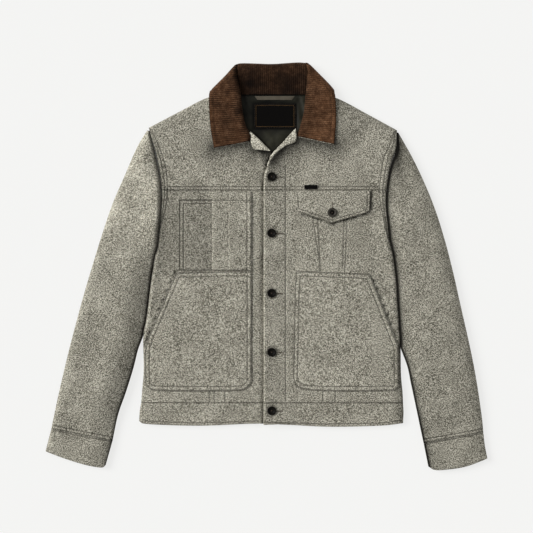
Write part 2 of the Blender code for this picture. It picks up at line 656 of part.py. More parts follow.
def button(name, x, y, z, radius):
    """A dished button turned from its profile."""
    bm = bmesh.new()
    rings = []
    for out, up in BUTTON_PROFILE:
        turns = [2 * math.pi * k / BUTTON_SIDES for k in range(BUTTON_SIDES)]
        rings.append([bm.verts.new((x + radius * out * math.cos(turn), y + radius * out * math.sin(turn),
                                    z + BUTTON_HEIGHT * up)) for turn in turns])
    for low, high in zip(rings, rings[1:]):
        for k in range(BUTTON_SIDES):
            after = (k + 1) % BUTTON_SIDES
            bm.faces.new((low[k], low[after], high[after], high[k]))
    bm.faces.new(rings[0][::-1])
    bm.faces.new(rings[-1])
    add_piece(name, bm, "horn")


def main():
    for item in list(bpy.data.objects):
        bpy.data.objects.remove(item, do_unlink=True)
    build_back()
    build_neck()
    build_right_front()
    build_left_front()
    build_facings()
    build_hand_pockets()
    build_chest_patch()
    build_flap()
    build_sleeve("right", RIGHT_YOKE_EDGE[::-1] + RIGHT_PANEL_EDGE[::-1][1:], RIGHT_SLEEVE_OUTER,
                 RIGHT_SLEEVE_INNER, RIGHT_CUFF_OUTER, RIGHT_CUFF_INNER, RIGHT_CUFF_END)
    build_sleeve("left", LEFT_YOKE_EDGE[::-1] + LEFT_PANEL_EDGE[::-1][1:], LEFT_SLEEVE_OUTER,
                 LEFT_SLEEVE_INNER, LEFT_CUFF_OUTER, LEFT_CUFF_INNER, LEFT_CUFF_END)
    build_collar()
    for number, y in enumerate(BUTTON_YS, start=1):
        button(f"button_{number}", BUTTON_X, y, LAP_TOP + CLOTH_GAP, BUTTON_RADIUS)


main()
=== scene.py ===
import functools
import math

import bmesh
import bpy
import numpy as np
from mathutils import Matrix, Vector, noise


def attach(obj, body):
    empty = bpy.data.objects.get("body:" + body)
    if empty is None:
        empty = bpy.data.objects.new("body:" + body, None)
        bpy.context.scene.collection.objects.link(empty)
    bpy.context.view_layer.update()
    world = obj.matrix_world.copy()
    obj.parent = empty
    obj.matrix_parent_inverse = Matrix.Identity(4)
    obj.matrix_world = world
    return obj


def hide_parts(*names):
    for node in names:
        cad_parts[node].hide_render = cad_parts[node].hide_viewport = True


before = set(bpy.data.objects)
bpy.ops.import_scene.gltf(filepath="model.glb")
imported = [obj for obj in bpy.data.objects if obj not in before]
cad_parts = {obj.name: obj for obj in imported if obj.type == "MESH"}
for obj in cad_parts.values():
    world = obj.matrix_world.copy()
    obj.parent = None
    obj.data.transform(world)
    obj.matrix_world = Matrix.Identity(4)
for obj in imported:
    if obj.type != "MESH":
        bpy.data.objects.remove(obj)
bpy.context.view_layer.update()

# Lengths are in millimetres until a piece is finished. Right and left are the wearer's.
MM = 0.001
CLOTH_GAP = 0.3
SEAM_INSET = 0.2

# Heights
BODY_LOFT = 6.0
FRONT_FLOOR = 6.6
SLEEVE_FLOOR = 6.3
UNDER_TOP = 6.0
LAP_FLOOR = 10.2
LAP_UNDER_TOP = 9.6
LAP_TOP = 15.0
LAP_RISE = 1.8           # how far the lap stands above its solid
PATCH = 2.0
PATCH_LIFT = 0.6
UNDERSIDE_LIFT = 4.2
SLEEVE_LOFT = 6.6
CUFF_LOFT = 8.2
SEAM_DROP = 1.5          # how far cloth rolls down into a seam, and over what distance
SLEEVE_SEAM_DROP = 1.3
SEAM_ROLL = 2.6
LINING_FLOOR = 4.0
LABEL_FLOOR = 6.0
TAPE_FLOOR = 6.6
LEAF_UNDER_FLOOR = 12.95
BODY_SWELL = 2.2         # how far the batting swells the fronts beyond the solids
SLEEVE_SWELL = 10.5      # the same along the middle of the sleeves

# Seams and edges
YOKE_SEAM_Y = 149
WAIST_SEAM_Y = -266
NECK_SEAM_Y = 335
RIGHT_EDGE_X = 35
LEFT_EDGE_X = -7
FACING_X = 36
HEM_MIDDLE_Y = -309
RIGHT_CORNER = (14, 220)
LEFT_CORNER = (12, 218)
LAP_CURVE = [LEFT_CORNER, (4, 203), (-4, 185), (-6.5, 168), (-7, YOKE_SEAM_Y)]

RIGHT_ARMHOLE_YOKE = [(-231, 271), (-219, 225), (-210, 180), (-207, YOKE_SEAM_Y)]
RIGHT_ARMHOLE_PANEL = [(-207, YOKE_SEAM_Y), (-207, 118), (-211, 76), (-214, 38)]
RIGHT_SIDE = [(-214, 38), (-219, 20), (-226, -24), (-231, -65), (-236, -104), (-242, -137),
              (-241, -200), (-244, -240), (-246, WAIST_SEAM_Y)]
RIGHT_BAND_END = [(-246, WAIST_SEAM_Y), (-249, -282), (-250, -302)]
LEFT_ARMHOLE_YOKE = [(254, 266), (253, 232), (244, 205), (238, 178), (234, YOKE_SEAM_Y)]
LEFT_ARMHOLE_PANEL = [(234, YOKE_SEAM_Y), (233, 118), (236, 84), (240, 51)]
LEFT_SIDE = [(240, 51), (247, 19), (252, -19), (255, -65), (258, -110), (261, -160),
             (262, -212), (265, -245), (266, WAIST_SEAM_Y)]
LEFT_BAND_END = [(266, WAIST_SEAM_Y), (267, -284), (266, -306)]
HEM = [(-250, -302), (-232, -308), (-128, -311), (-9, -307), (116, -313), (220, -311), (266, -306)]
RIGHT_SHOULDER = [(-231, 271), (-172, 302), (-113, 331), (-66, 334)]
RIGHT_NECK = [(-66, 334), (-76, 298), (-66, 268), (-50, 249), (-34, 246), (-30, 254), RIGHT_CORNER]
LEFT_SHOULDER = [(254, 266), (201, 295), (131, 331), (85, 334)]
LEFT_NECK = [(85, 334), (98, 301), (90, 273), (75, 255), (59, 253), (54, 260), LEFT_CORNER]
BACK_NECK = [(-60, NECK_SEAM_Y), (78, NECK_SEAM_Y)]

RIGHT_SLEEVE_OUTER = [(-231, 271), (-254, 233), (-278, 178), (-301, 125), (-323, 61), (-343, -4),
                      (-361, -65), (-387, -163), (-408, -252), (-422, -318)]
LEFT_SLEEVE_OUTER = [(254, 266), (283, 215), (308, 163), (330, 108), (350, 43), (365, -16), (376, -65),
                     (398, -163), (410, -226), (420, -294), (423, -325)]
RIGHT_SLEEVE_INNER = [(-242, -137), (-252, -163), (-261, -199), (-276, -247), (-291, -290), (-302, -342)]
LEFT_SLEEVE_INNER = [(261, -160), (274, -195), (281, -228), (291, -275), (300, -318), (306, -346)]
RIGHT_CUFF_OUTER = [(-422, -318), (-433, -361)]
RIGHT_CUFF_INNER = [(-302, -342), (-315, -388)]
RIGHT_CUFF_END = [(-433, -361), (-393, -376), (-353, -388), (-323, -393), (-315, -388)]
LEFT_CUFF_OUTER = [(423, -325), (426, -350), (431, -375)]
LEFT_CUFF_INNER = [(306, -346), (315, -391)]
LEFT_CUFF_END = [(431, -375), (395, -389), (367, -395), (330, -398), (315, -391)]

RIGHT_POCKET = dict(low=[(-238, -229), (-230, -238), (-205, -243), (-81, -243), (-43, -240), (-29, -225)],
                    side=[(-238, -229), (-239, -170), (-233, -141)],
                    slant=[(-233, -141), (-177, -11)], top=[(-177, -11), (-29, -8)],
                    inner=[(-29, -225), (-29, -8)])
LEFT_POCKET = dict(low=[(50, -216), (61, -236), (111, -243), (235, -243), (250, -241), (258, -235)],
                   side=[(258, -235), (257, -163), (250, -138)],
                   slant=[(250, -138), (201, -14)], top=[(56, -8), (201, -14)],
                   inner=[(50, -216), (53, -65), (56, -8)])
FLAP_HIGH = [(53, 148), (202, 148)]
BUTTON_X = 9
BUTTON_YS = (175, 65, -52, -167, -281)
FLAP_BUTTON = (127, 105)


# Lines and patches in plan

def curve(points, steps=8):
    """A smooth line through the points, which still passes through each of them."""
    line = np.array(points, float)
    if len(line) < 3:
        return line
    ends = np.vstack([2 * line[0] - line[1], line, 2 * line[-1] - line[-2]])
    t = np.linspace(0, 1, steps, endpoint=False)[:, None]
    found = [0.5 * (2 * b + (c - a) * t + (2 * a - 5 * b + 4 * c - d) * t ** 2
                    + (3 * b - a - 3 * c + d) * t ** 3)
             for a, b, c, d in zip(ends, ends[1:], ends[2:], ends[3:])]
    return np.vstack([*found, line[-1:]])


def straight(*points):
    """A line of straight stretches through the points."""
    return np.array(points, float)


def join(*lines):
    return np.vstack([lines[0], *[line[1:] for line in lines[1:]]])


def length_of(line):
    return float(np.linalg.norm(np.diff(line, axis=0), axis=1).sum())


def walk(line, shares):
    """Points at the given shares of a line's length."""
    line = np.asarray(line, float)
    at = np.concatenate([[0.0], np.cumsum(np.linalg.norm(np.diff(line, axis=0), axis=1))])
    wanted = np.asarray(shares) * at[-1]
    return np.column_stack([np.interp(wanted, at, line[:, k]) for k in (0, 1)])


def marks(length, cell, close=()):
    """Shares of a length for the rows of a mesh, closer together at both ends."""
    even = np.linspace(0, length, max(2, round(length / cell) + 1))
    near = [d for d in close if d < length / 2]
    ends = np.array(near + [length - d for d in near])
    if len(ends):
        reach = max(near)
        even = even[(even > reach) & (even < length - reach) | (even == 0) | (even == length)]
    return np.unique(np.round(np.concatenate([even, ends]), 4)) / length


def patch(bottom, top, left, right, across, upward):
    """Plan points of a grid that fills four sides."""
    bottom, top = walk(bottom, across), walk(top, across)
    left, right = walk(left, upward), walk(right, upward)
    u, v = across[None, :, None], upward[:, None, None]
    corners = (1 - v) * ((1 - u) * bottom[0] + u * bottom[-1]) + v * ((1 - u) * top[0] + u * top[-1])
    return (1 - u) * left[:, None] + u * right[:, None] + (1 - v) * bottom + v * top - corners


def strip(low, high, across, upward):
    """A patch between a lower and an upper line, with straight ends."""
    return patch(low, high, [low[0], high[0]], [low[-1], high[-1]], across, upward)


def panel(left, right, across, upward):
    """A patch between two side lines that rise, with straight ends."""
    return patch([left[0], right[0]], [left[-1], right[-1]], left, right, across, upward)


def box(low_x, low_y, high_x, high_y):
    """The four sides of a rectangle."""
    corners = [(low_x, low_y), (high_x, low_y), (high_x, high_y), (low_x, high_y)]
    return [straight(a, b) for a, b in zip(corners, corners[1:] + corners[:1])]


def inset(plan, gap=SEAM_INSET):
    """Draws a patch's outline in, so that it stays clear of its neighbours."""
    rows, columns = plan.shape[:2]
    loop = [(0, i) for i in range(columns - 1)] + [(j, columns - 1) for j in range(rows - 1)]
    loop += [(rows - 1, i) for i in range(columns - 1, 0, -1)] + [(j, 0) for j in range(rows - 1, 0, -1)]
    line = np.array([plan[at] for at in loop])
    after = np.roll(line, -1, axis=0) - line
    after /= np.linalg.norm(after, axis=1)[:, None]
    normal = np.column_stack([-after[:, 1], after[:, 0]])
    before = np.roll(normal, 1, axis=0)
    both = before + normal
    both *= (gap / np.maximum(0.5, 1 + (before * normal).sum(axis=1)))[:, None]
    drawn = plan.copy()
    for at, point in zip(loop, line + both):
        drawn[at] = point
    return drawn


def thin(line, error=0.05):
    """The line without the points that a straight stretch passes anyway."""
    if len(line) < 3:
        return line
    run = line[-1] - line[0]
    length = np.hypot(*run)
    off = line - line[0]
    off = np.abs(off[:, 0] * run[1] - off[:, 1] * run[0]) / length if length > 1e-6 else np.hypot(*off.T)
    k = int(np.argmax(off))
    return line[[0, -1]] if off[k] < error else join(thin(line[:k + 1]), thin(line[k:]))


@functools.lru_cache(maxsize=None)
def stretches(packed):
    line = thin(np.frombuffer(packed).reshape(-1, 2))
    return list(zip(line, line[1:]))


def distance_to(points, line):
    found = np.full(len(points), 1e12)
    for a, b in stretches(np.ascontiguousarray(line, float).tobytes()):
        run, off = b - a, points - a
        share = np.minimum(1, np.maximum(0, off @ run / max(run @ run, 1e-9)))
        x, y = off[:, 0] - share * run[0], off[:, 1] - share * run[1]
        found = np.minimum(found, x * x + y * y)
    return np.sqrt(found)


def closest(points, lines):
    """Distance to the nearest of the lines, wherever it is."""
    return np.min([distance_to(points, line) for line in lines], axis=0)


def beside(line, distance):
    """The line moved sideways, to its left as it runs."""
    line = np.asarray(line, float)
    way = np.gradient(line, axis=0)
    way /= np.linalg.norm(way, axis=1)[:, None]
    return line + distance * np.column_stack([-way[:, 1], way[:, 0]])


def rounded(distance, radius):
    share = np.minimum(1.0, distance / radius)
    return np.sqrt(np.maximum(0.0, 1.0 - (1.0 - share) ** 2))


def smooth_step(value, low, high):
    share = np.clip((value - low) / (high - low), 0, 1)
    return share * share * (3 - 2 * share)


def between(low, high, share):
    return low + (high - low) * share


def bell(distance, width):
    """1 at no distance, and nearly 0 beyond twice the width."""
    return np.exp(-(distance / width) ** 2)


def uneven(points, size, seed):
    """A gentle unevenness of about -1 to 1, with humps about so many millimetres apart."""
    return np.array([noise.noise(Vector((x / size, y / size, seed))) for x, y in points]) * 1.6


# Outlines

RIGHT_ARMHOLE = curve(RIGHT_ARMHOLE_YOKE + RIGHT_ARMHOLE_PANEL[1:] + RIGHT_SIDE[1:])
LEFT_ARMHOLE = curve(LEFT_ARMHOLE_YOKE + LEFT_ARMHOLE_PANEL[1:] + LEFT_SIDE[1:])


def cut_at(line, height):
    """The parts of a falling line above and below a height, both from the top down."""
    k = int(np.argmax(line[:, 1] <= height))
    share = (line[k - 1, 1] - height) / (line[k - 1, 1] - line[k, 1])
    meeting = line[k - 1] + share * (line[k] - line[k - 1])
    return np.vstack([line[:k], meeting]), np.vstack([meeting, line[k:] if share < 1 else line[k + 1:]])


RIGHT_YOKE_EDGE, RIGHT_PANEL_EDGE = cut_at(RIGHT_ARMHOLE, YOKE_SEAM_Y)
LEFT_YOKE_EDGE, LEFT_PANEL_EDGE = cut_at(LEFT_ARMHOLE, YOKE_SEAM_Y)
RIGHT_TOP_LINE = join(curve(RIGHT_SHOULDER), curve(RIGHT_NECK))
LEFT_TOP_LINE = join(curve(LEFT_SHOULDER), curve(LEFT_NECK))
HEM_LINE = curve(HEM)
# Each sleeve leaves the body's side where its inner fold starts
RIGHT_ARM_SEAM, RIGHT_BODY_SIDE = cut_at(RIGHT_ARMHOLE, RIGHT_SLEEVE_INNER[0][1])
LEFT_ARM_SEAM, LEFT_BODY_SIDE = cut_at(LEFT_ARMHOLE, LEFT_SLEEVE_INNER[0][1])
RIGHT_BODY_SIDE = join(RIGHT_BODY_SIDE, straight(*RIGHT_BAND_END))
LEFT_BODY_SIDE = join(LEFT_BODY_SIDE, straight(*LEFT_BAND_END))

BODY_EDGES = [
    # line, radius of its round, share of the wall left at the line
    (RIGHT_BODY_SIDE, 18.0, 0.15), (LEFT_BODY_SIDE, 18.0, 0.15),
    (RIGHT_ARM_SEAM, 4.0, 0.72), (LEFT_ARM_SEAM, 4.0, 0.72),
    (curve(RIGHT_SHOULDER), 12.0, 0.25), (curve(LEFT_SHOULDER), 12.0, 0.25),
    (HEM_LINE, 5.0, 0.45),
]

LAP_EDGE = join(straight((54, 260), LEFT_CORNER), curve(LAP_CURVE),
                straight((LEFT_EDGE_X, YOKE_SEAM_Y), (LEFT_EDGE_X, HEM_MIDDLE_Y)))
LAP_CREASE = [(-15.6, 220), (-7, 187)]
FRONT_SEAMS = [straight((-250, YOKE_SEAM_Y), (250, YOKE_SEAM_Y)),
               straight((-270, WAIST_SEAM_Y), (280, WAIST_SEAM_Y))]

# Rows of stitching on the fronts, from one end to the other
RIGHT_ARM_ROW = [(-226, 268), (-204, 217), (-196, 185), (-194, 150), (-197, 118), (-202, 98), (-210, 66),
                 (-214, 44)]
LEFT_ARM_ROW = [(247, 262), (238, 232), (228, 212), (222, 175), (219, 149), (222, 120), (226, 100),
                (232, 71), (238, 48)]


def second_row(row, edge, share=0.45):
    steps = np.linspace(0, 1, 30)
    edge = cut_at(edge, row[-1][1])[0]
    return between(walk(curve(row), steps), walk(edge, steps), share)


FRONT_ROWS = {
    "arm_right": curve(RIGHT_ARM_ROW), "arm_right_edge": second_row(RIGHT_ARM_ROW, RIGHT_ARMHOLE),
    "arm_left": curve(LEFT_ARM_ROW), "arm_left_edge": second_row(LEFT_ARM_ROW, LEFT_ARMHOLE),
    "yoke_right": straight((-194, 155.5), (-11, 155.5)), "yoke_left": straight((-5, 155.5), (219, 155.5)),
    "facing_low": straight((FACING_X, -262), (FACING_X, 147)),
    "facing_high": straight((FACING_X, 151), (FACING_X, 198)),
    "dart_1": curve([(88.5, 100), (97, 45), (103.3, -5), (108, -130), (109.2, -263)]),
    "dart_2": curve([(98.3, 100), (101.5, 45), (104.5, -5)]),
    "dart_3": curve([(156.5, 100), (154, 45), (151.5, -5), (140, -130), (132.6, -263)]),
    "dart_4": curve([(150, 100), (149, 45), (147.5, -5)]),
    **{f"dart_right_{n}": straight((x, -243), (x, -263)) for n, x in enumerate((-112, -103, -83), start=1)},
    "hem_right": beside(walk([p for p in HEM if p[0] < 0] + [(-9, -307)], np.linspace(0.02, 1, 30)), 5.5),
    "hem_left": beside(walk([(-6, HEM_MIDDLE_Y)] + [p for p in HEM if p[0] > 0],
                            np.linspace(0, 0.99, 30)), 5.5),
    "pleat": straight((-74.5, 146), (-74.5, 120)),
}
ROW_WIDTH = 1.3          # of the dent along a row
ROW_DEPTH = 0.85

# Soft creases on the fronts: start x, y, end x, y, half width, depth (a ridge is negative)
FRONT_FOLDS = [
    (-201, -256, -132, -262, 5, 0.9),
    (-206, -250, -140, -254, 6, -0.5),
    (28, -256, 68, -258, 4, 0.8),
    (*LAP_CREASE[0], *LAP_CREASE[1], 3.5, 1.3),
    (-42, 226, -26, 206, 9, 0.9),
    (-222, 214, -190, 250, 15, 0.8),
    (-150, 180, -116, 250, 26, 0.7),
    (150, 176, 190, 250, 24, 0.7),
    (230, 250, 200, 268, 12, 0.7),
    (74, 232, 96, 190, 16, 0.9),
    (-206, 90, -180, 40, 13, 1.0),
    (212, 40, 196, 84, 12, 0.8),
    (246, -20, 216, 8, 10, 0.9),
    (-224, -90, -206, -40, 9, 0.8),
    (-120, -290, -60, -286, 10, 0.5),
    (70, -292, 150, -286, 10, 0.6),
    (-215, -288, -170, -284, 9, 0.6),
    (205, -284, 250, -292, 9, 0.6),
]


def folded(points, folds):
    """How far the creases press the cloth down."""
    depth = np.zeros(len(points))
    for x1, y1, x2, y2, half_width, deep in folds:
        near = distance_to(points, [(x1, y1), (x2, y2)])
        depth += deep * (1 - smooth_step(near, 0, half_width))
    return depth


def nearest(points, lines, reach=25.0):
    """Distance to the nearest of the lines, where one is within reach."""
    found = np.full(len(points), reach)
    for line in lines:
        low, high = line.min(axis=0) - reach, line.max(axis=0) + reach
        inside = (points > low).all(axis=1) & (points < high).all(axis=1)
        if inside.any():
            found[inside] = np.minimum(found[inside], distance_to(points[inside], line))
    return found


def sewn(points, rows, width=ROW_WIDTH):
    """0 away from the rows of stitching and 1 in the dent along them."""
    return bell(nearest(points, rows), width)


def sewing(points, rows, depth=ROW_DEPTH):
    """How far rows of stitching pull the cloth down, with small puckers beside them."""
    near = nearest(points, rows)
    return depth * bell(near, ROW_WIDTH) - 0.3 * uneven(points, 9, 8.0) * bell(near, 5)


def row_shade_and_highlight(points, rows):
    """Painted shade in the dent along a row of stitching and a painted highlight on its lips."""
    near = nearest(points, rows)
    return 0.13 * bell(near, 3.6) - 0.78 * bell(near, 1.0)


def wool_shade_and_mottle(points, rows, to_seam, seed):
    """Painted shade and highlights along rows and painted shade in a seam, with a tone a little uneven all
    over.
    """
    return row_shade_and_highlight(points, rows) - 0.42 * bell(to_seam, 1.4) - 0.04 * uneven(points, 25, seed)


def wall_share(points):
    return np.min([between(left, 1.0, rounded(distance_to(points, line), radius))
                   for line, radius, left in BODY_EDGES], axis=0)


def swell(points):
    """The batting's swell, which fades towards the body's edges."""
    near = closest(points, [line for line, _, _ in BODY_EDGES])
    lip = 1.3 * bell(closest(points, [RIGHT_ARM_SEAM, LEFT_ARM_SEAM]) - 7, 5)
    ripple = 0.6 * uneven(points, 46, 3.1) * smooth_step(near, 2, 20)
    return BODY_SWELL * smooth_step(near, 0, 75) + lip + ripple


def back_underside(points):
    return UNDERSIDE_LIFT * (1 - wall_share(points))


def back_top(points):
    return between(BODY_LOFT, 3.7, smooth_step(points[:, 1], YOKE_SEAM_Y, 205))


def past_lap(points):
    """How far the points lie to the left front's side of its edge."""
    lap = curve(LAP_CURVE)[::-1]
    return points[:, 0] - np.interp(points[:, 1], lap[:, 1], lap[:, 0])


def front_form(points):
    """The fronts' surface as if they did not overlap."""
    return FRONT_FLOOR + BODY_LOFT * wall_share(points) + swell(points) - folded(points, FRONT_FOLDS)


def right_front_form(points):
    full = front_form(points)
    under = smooth_step(past_lap(points), -5, -0.5)
    return between(full, np.minimum(full, LAP_UNDER_TOP), under)


def left_front_underside(points):
    return between(LAP_FLOOR, FRONT_FLOOR, smooth_step(points[:, 0], RIGHT_EDGE_X + 9, RIGHT_EDGE_X + 25))


def left_front_form(points):
    edge = between(0.35, 1.0, rounded(distance_to(points, LAP_EDGE), 3.0))
    edge = edge * between(0.3, 1.0, wall_share(points))
    lap = between(LAP_FLOOR, LAP_TOP + LAP_RISE, edge) + 0.25 * uneven(points, 30, 5.0) * edge
    return between(lap, front_form(points), smooth_step(points[:, 0], FACING_X - 2, FACING_X + 24))


def rolled_in(points, seam):
    """How far the cloth beside a seam rolls down into it."""
    return 1 - rounded(distance_to(points, seam), SEAM_ROLL)


def front_top(form):
    """A front's surface: its form, dented along its stitching and rolled down into its seams."""
    def top(points):
        z = form(points) - sewing(points, FRONT_ROWS.values())
        for seam in FRONT_SEAMS:
            z = z - SEAM_DROP * rolled_in(points, seam)
        return z
    return top


# Pieces

MADE = []                # every piece of cloth: object, plan area, plan size


def place(verts, points, heights):
    for vert, point, z in zip(verts, points, heights):
        vert.co = (point[0], point[1], z)


def plan_of(items):
    return np.array([item.co[:2] for item in items]).reshape(-1, 2)


def refine(bm, rows, steps=((9.0, 3.4, 2), (4.0, 1.5, 2))):
    """Cuts a mesh finer beside the given rows."""
    for reach, longest, times in steps:
        for _ in range(times):
            middles = np.array([((e.verts[0].co + e.verts[1].co) / 2)[:2] for e in bm.edges])
            close = nearest(middles, rows) < reach
            chosen = [e for e, near in zip(bm.edges, close) if near and e.calc_length() > longest]
            if chosen:
                bmesh.ops.subdivide_edges(bm, edges=chosen, cuts=1, use_grid_fill=True)
    bmesh.ops.triangulate(bm, faces=[f for f in bm.faces if len(f.verts) > 4])


def add_object(name, data):
    made = bpy.data.objects.new(name, data)
    bpy.context.collection.objects.link(made)
    return made


def add_piece(name, mesh, finish):
    """Puts a mesh in the scene with its finish, fixed to the one body."""
    mesh.materials.append(FINISHES[finish][0])
    made = add_object(name, mesh)
    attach(made, "root")
    return made


def finish_piece(name, bm, finish, *nodes, tone=None):
    """Turns the mesh into metres and puts it in the scene, in place of the solids that it stands for."""
    bmesh.ops.recalc_face_normals(bm, faces=bm.faces)
    if bm.calc_volume(signed=True) < 0:
        bmesh.ops.reverse_faces(bm, faces=bm.faces)
    mesh = bpy.data.meshes.new(name)
    if tone is not None:
        values = tone(plan_of(bm.verts), np.array([v.co.z for v in bm.verts]))
    bmesh.ops.scale(bm, verts=bm.verts, vec=(MM, MM, MM))
    bm.to_mesh(mesh)
    bm.free()
    # the tone, which holds painted shade and highlights as well as unevenness, goes on each vertex
    if tone is not None:
        layer = mesh.attributes.new("tone", "FLOAT", "POINT")
        layer.data.foreach_set("value", np.asarray(values, np.float32))
    mesh.shade_smooth()
    mesh.set_sharp_from_angle(angle=math.radians(60))
    made = add_piece(name + "_piece" if nodes else name, mesh, finish)
    if nodes:
        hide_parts(*nodes)
    return made


def cloth(name, plan, underside, top, finish="wool", rows=(), nodes=None, tone=None, gap=SEAM_INSET):
    """A closed wall of cloth over the plan, between two heights that are functions of the plan points."""
    plan = inset(plan, gap) if gap else plan
    bm = bmesh.new()
    bmesh.ops.create_grid(bm, x_segments=plan.shape[1] - 1, y_segments=plan.shape[0] - 1, size=1.0)
    points = plan.reshape(-1, 2)
    place(bm.verts, points, np.zeros(len(points)))
    if len(rows):
        refine(bm, rows)
    flat_area = sum(f.calc_area() for f in bm.faces)
    place(bm.verts, plan_of(bm.verts), underside(plan_of(bm.verts)))
    grown = bmesh.ops.extrude_face_region(bm, geom=bm.faces[:])
    upper = [g for g in grown["geom"] if isinstance(g, bmesh.types.BMVert)]
    place(upper, plan_of(upper), top(plan_of(upper)))
    draped = sum(f.calc_area() for f in grown["geom"] if isinstance(f, bmesh.types.BMFace))
    area = min(draped, 1.25 * flat_area)
    made = finish_piece(name, bm, finish, *(nodes or [name]), tone=tone)
    size = points.max(axis=0) - points.min(axis=0)
    MADE.append((made, area * MM * MM, size * MM))


def level(height):
    return lambda points: np.full(len(points), float(height))


def lifted(surface, lift):
    return lambda points: surface(points) + lift


def stitch(name, rows, surface, thread="thread", pitch=4.4, shown=3.0, thick=0.42, rise=0.42):
    """Rows of separate stitches as one mesh of short threads, whose ends dip into the cloth."""
    data = bpy.data.curves.new(name, "CURVE")
    data.dimensions = "3D"
    data.bevel_depth = thick * MM
    data.bevel_resolution = 1
    for row in rows:
        count = max(1, int(length_of(row) / pitch))
        starts = (np.arange(count) + 0.5) * pitch - shown / 2
        at = (starts[:, None] + np.linspace(0, shown, 4)[None, :]) / length_of(row)
        points = walk(row, np.clip(at.ravel(), 0, 1))
        heights = surface(points).reshape(-1, 4) + np.array([-0.5, rise, rise, -0.5])
        for k in range(count):
            spline = data.splines.new("POLY")
            spline.points.add(3)
            for j in range(4):
                x, y = points[k * 4 + j]
                spline.points[j].co = (x * MM, y * MM, heights[k, j] * MM, 1.0)
    shape = add_object(name + "_line", data)
    bpy.context.view_layer.update()
    mesh = bpy.data.meshes.new_from_object(shape.evaluated_get(bpy.context.evaluated_depsgraph_get()))
    bpy.data.objects.remove(shape, do_unlink=True)
    mesh.name = name
    mesh.shade_smooth()
    mesh.materials.clear()
    add_piece(name, mesh, thread)


# Finishes

class Value:
    """A shader value that Python's operators work on."""

    def __init__(self, finish, socket):
        self.finish, self.socket = finish, socket

    def maths(self, operation, *others):
        return self.finish.node("ShaderNodeMath", {"operation": operation},
                                dict(enumerate([self, *others])))

    def __add__(self, other):
        return self.maths("ADD", other)

    def __sub__(self, other):
        return self.maths("SUBTRACT", other)

    def __mul__(self, other):
        return self.maths("MULTIPLY", other)


class Finish:
    """One material. node() adds any shader node: its kind, its settings, then its inputs."""

    def __init__(self, name, roughness, **constants):
        self.material = bpy.data.materials.new(name)
        self.material.use_nodes = True
        self.tree = self.material.node_tree
        self.shader = self.tree.nodes["Principled BSDF"]
        self.shader.inputs["Roughness"].default_value = roughness
        for key, number in constants.items():
            self.shader.inputs[key.replace("_", " ")].default_value = number

    def node(self, kind, settings=None, inputs=None, output=0):
        made = self.tree.nodes.new(kind)
        for key, setting in (settings or {}).items():
            if key == "stops":
                ramp = made.color_ramp
                while len(ramp.elements) < len(setting):
                    ramp.elements.new(0.5)
                for element, (at, colour) in zip(ramp.elements, setting):
                    element.position, element.color = at, (*colour, 1.0)
            else:
                setattr(made, key, setting)
        self.feed(made, inputs or {})
        return Value(self, made.outputs[output])

    def feed(self, node, inputs):
        for key, value in inputs.items():
            if isinstance(value, Value):
                self.tree.links.new(value.socket, node.inputs[key])
            else:
                node.inputs[key].default_value = value

    def grain(self, size, detail=2.0, roughness=0.5, stretch=(1, 1, 1)):
        """Noise whose features are about size millimetres across."""
        at = self.node("ShaderNodeTexCoord", output="Object")
        where = self.node("ShaderNodeMapping", inputs={"Vector": at, "Scale": stretch})
        return self.node("ShaderNodeTexNoise", inputs={"Vector": where, "Scale": 1000.0 / size,
                                                       "Detail": detail, "Roughness": roughness})

    def ramp(self, value, stops):
        return self.node("ShaderNodeValToRGB", {"stops": stops}, {"Fac": value})

    def toned(self, colour, painted_lightness=1.0):
        """The colour, darkened and lightened by the tone that a piece's vertices carry, which holds painted
        shade and highlights as well as unevenness, then scaled by a painted lightness.
        """
        tone = self.node("ShaderNodeAttribute", {"attribute_name": "tone"}, output="Fac")
        return self.node("ShaderNodeMix", {"data_type": "RGBA", "blend_type": "MULTIPLY"},
                         {0: 1.0, 6: colour, 7: (tone + 1.0) * painted_lightness}, output=2)

    def bump(self, height, distance, strength=1.0):
        normal = self.node("ShaderNodeBump", inputs={"Height": height, "Distance": distance * MM,
                                                     "Strength": strength})
        self.feed(self.shader, {"Normal": normal})

    def done(self, colour, roughness=None):
        self.feed(self.shader, {"Base Color": colour})
        if roughness is not None:
            self.feed(self.shader, {"Roughness": roughness})
        return self.material


def wool_finish(name, painted_lightness=1.0):
    """Heathered wool: light, middle and dark fibres mixed in small flecks, with a soft nap; a lightness above
    1 paints it lighter, as lit.
    """
    made = Finish(name, 0.92, Sheen_Weight=0.10, Sheen_Roughness=0.6, Specular_IOR_Level=0.05,
                  Sheen_Tint=(1.0, 0.94, 0.78, 1.0))
    flecks = made.grain(2.05, 3.0, 0.8)
    fibres = made.grain(0.95, 2.0, 0.7, (1.0, 1.35, 1.0))
    clouds = made.grain(38.0, 2.0)
    mixed = flecks * 0.66 + fibres * 0.34 + (clouds - 0.5) * 0.06
    dark, middle, light = (0.040, 0.037, 0.026), (0.197, 0.184, 0.146), (0.635, 0.605, 0.505)
    colour = made.ramp(mixed, [(0.43, dark), (0.495, middle), (0.565, light)])
    made.bump(flecks * 0.6 + fibres * 0.4, 0.7, 0.5)
    return made.done(made.toned(colour, painted_lightness))


def corduroy_finish():
    """Brown corduroy, darkened and lightened by the tone that the pieces carry: lighter on the ridges and
    darker in the grooves, partly the pile's own colour and partly painted shade.
    """
    made = Finish("collar_corduroy", 0.85, Sheen_Weight=0.12, Sheen_Roughness=0.4,
                  Specular_IOR_Level=0.08, Sheen_Tint=(0.75, 0.5, 0.36, 1.0))
    pile = made.grain(0.8, 3.0, 0.7)
    worn = made.grain(9.0, 4.0, 0.75)
    mixed = pile * 0.55 + worn * 0.45
    colour = made.ramp(mixed, [(0.37, (0.021, 0.0088, 0.0038)), (0.51, (0.061, 0.0280, 0.0128)),
                               (0.63, (0.165, 0.088, 0.048))])
    made.bump(pile, 0.35, 0.6)
    return made.done(made.toned(colour))


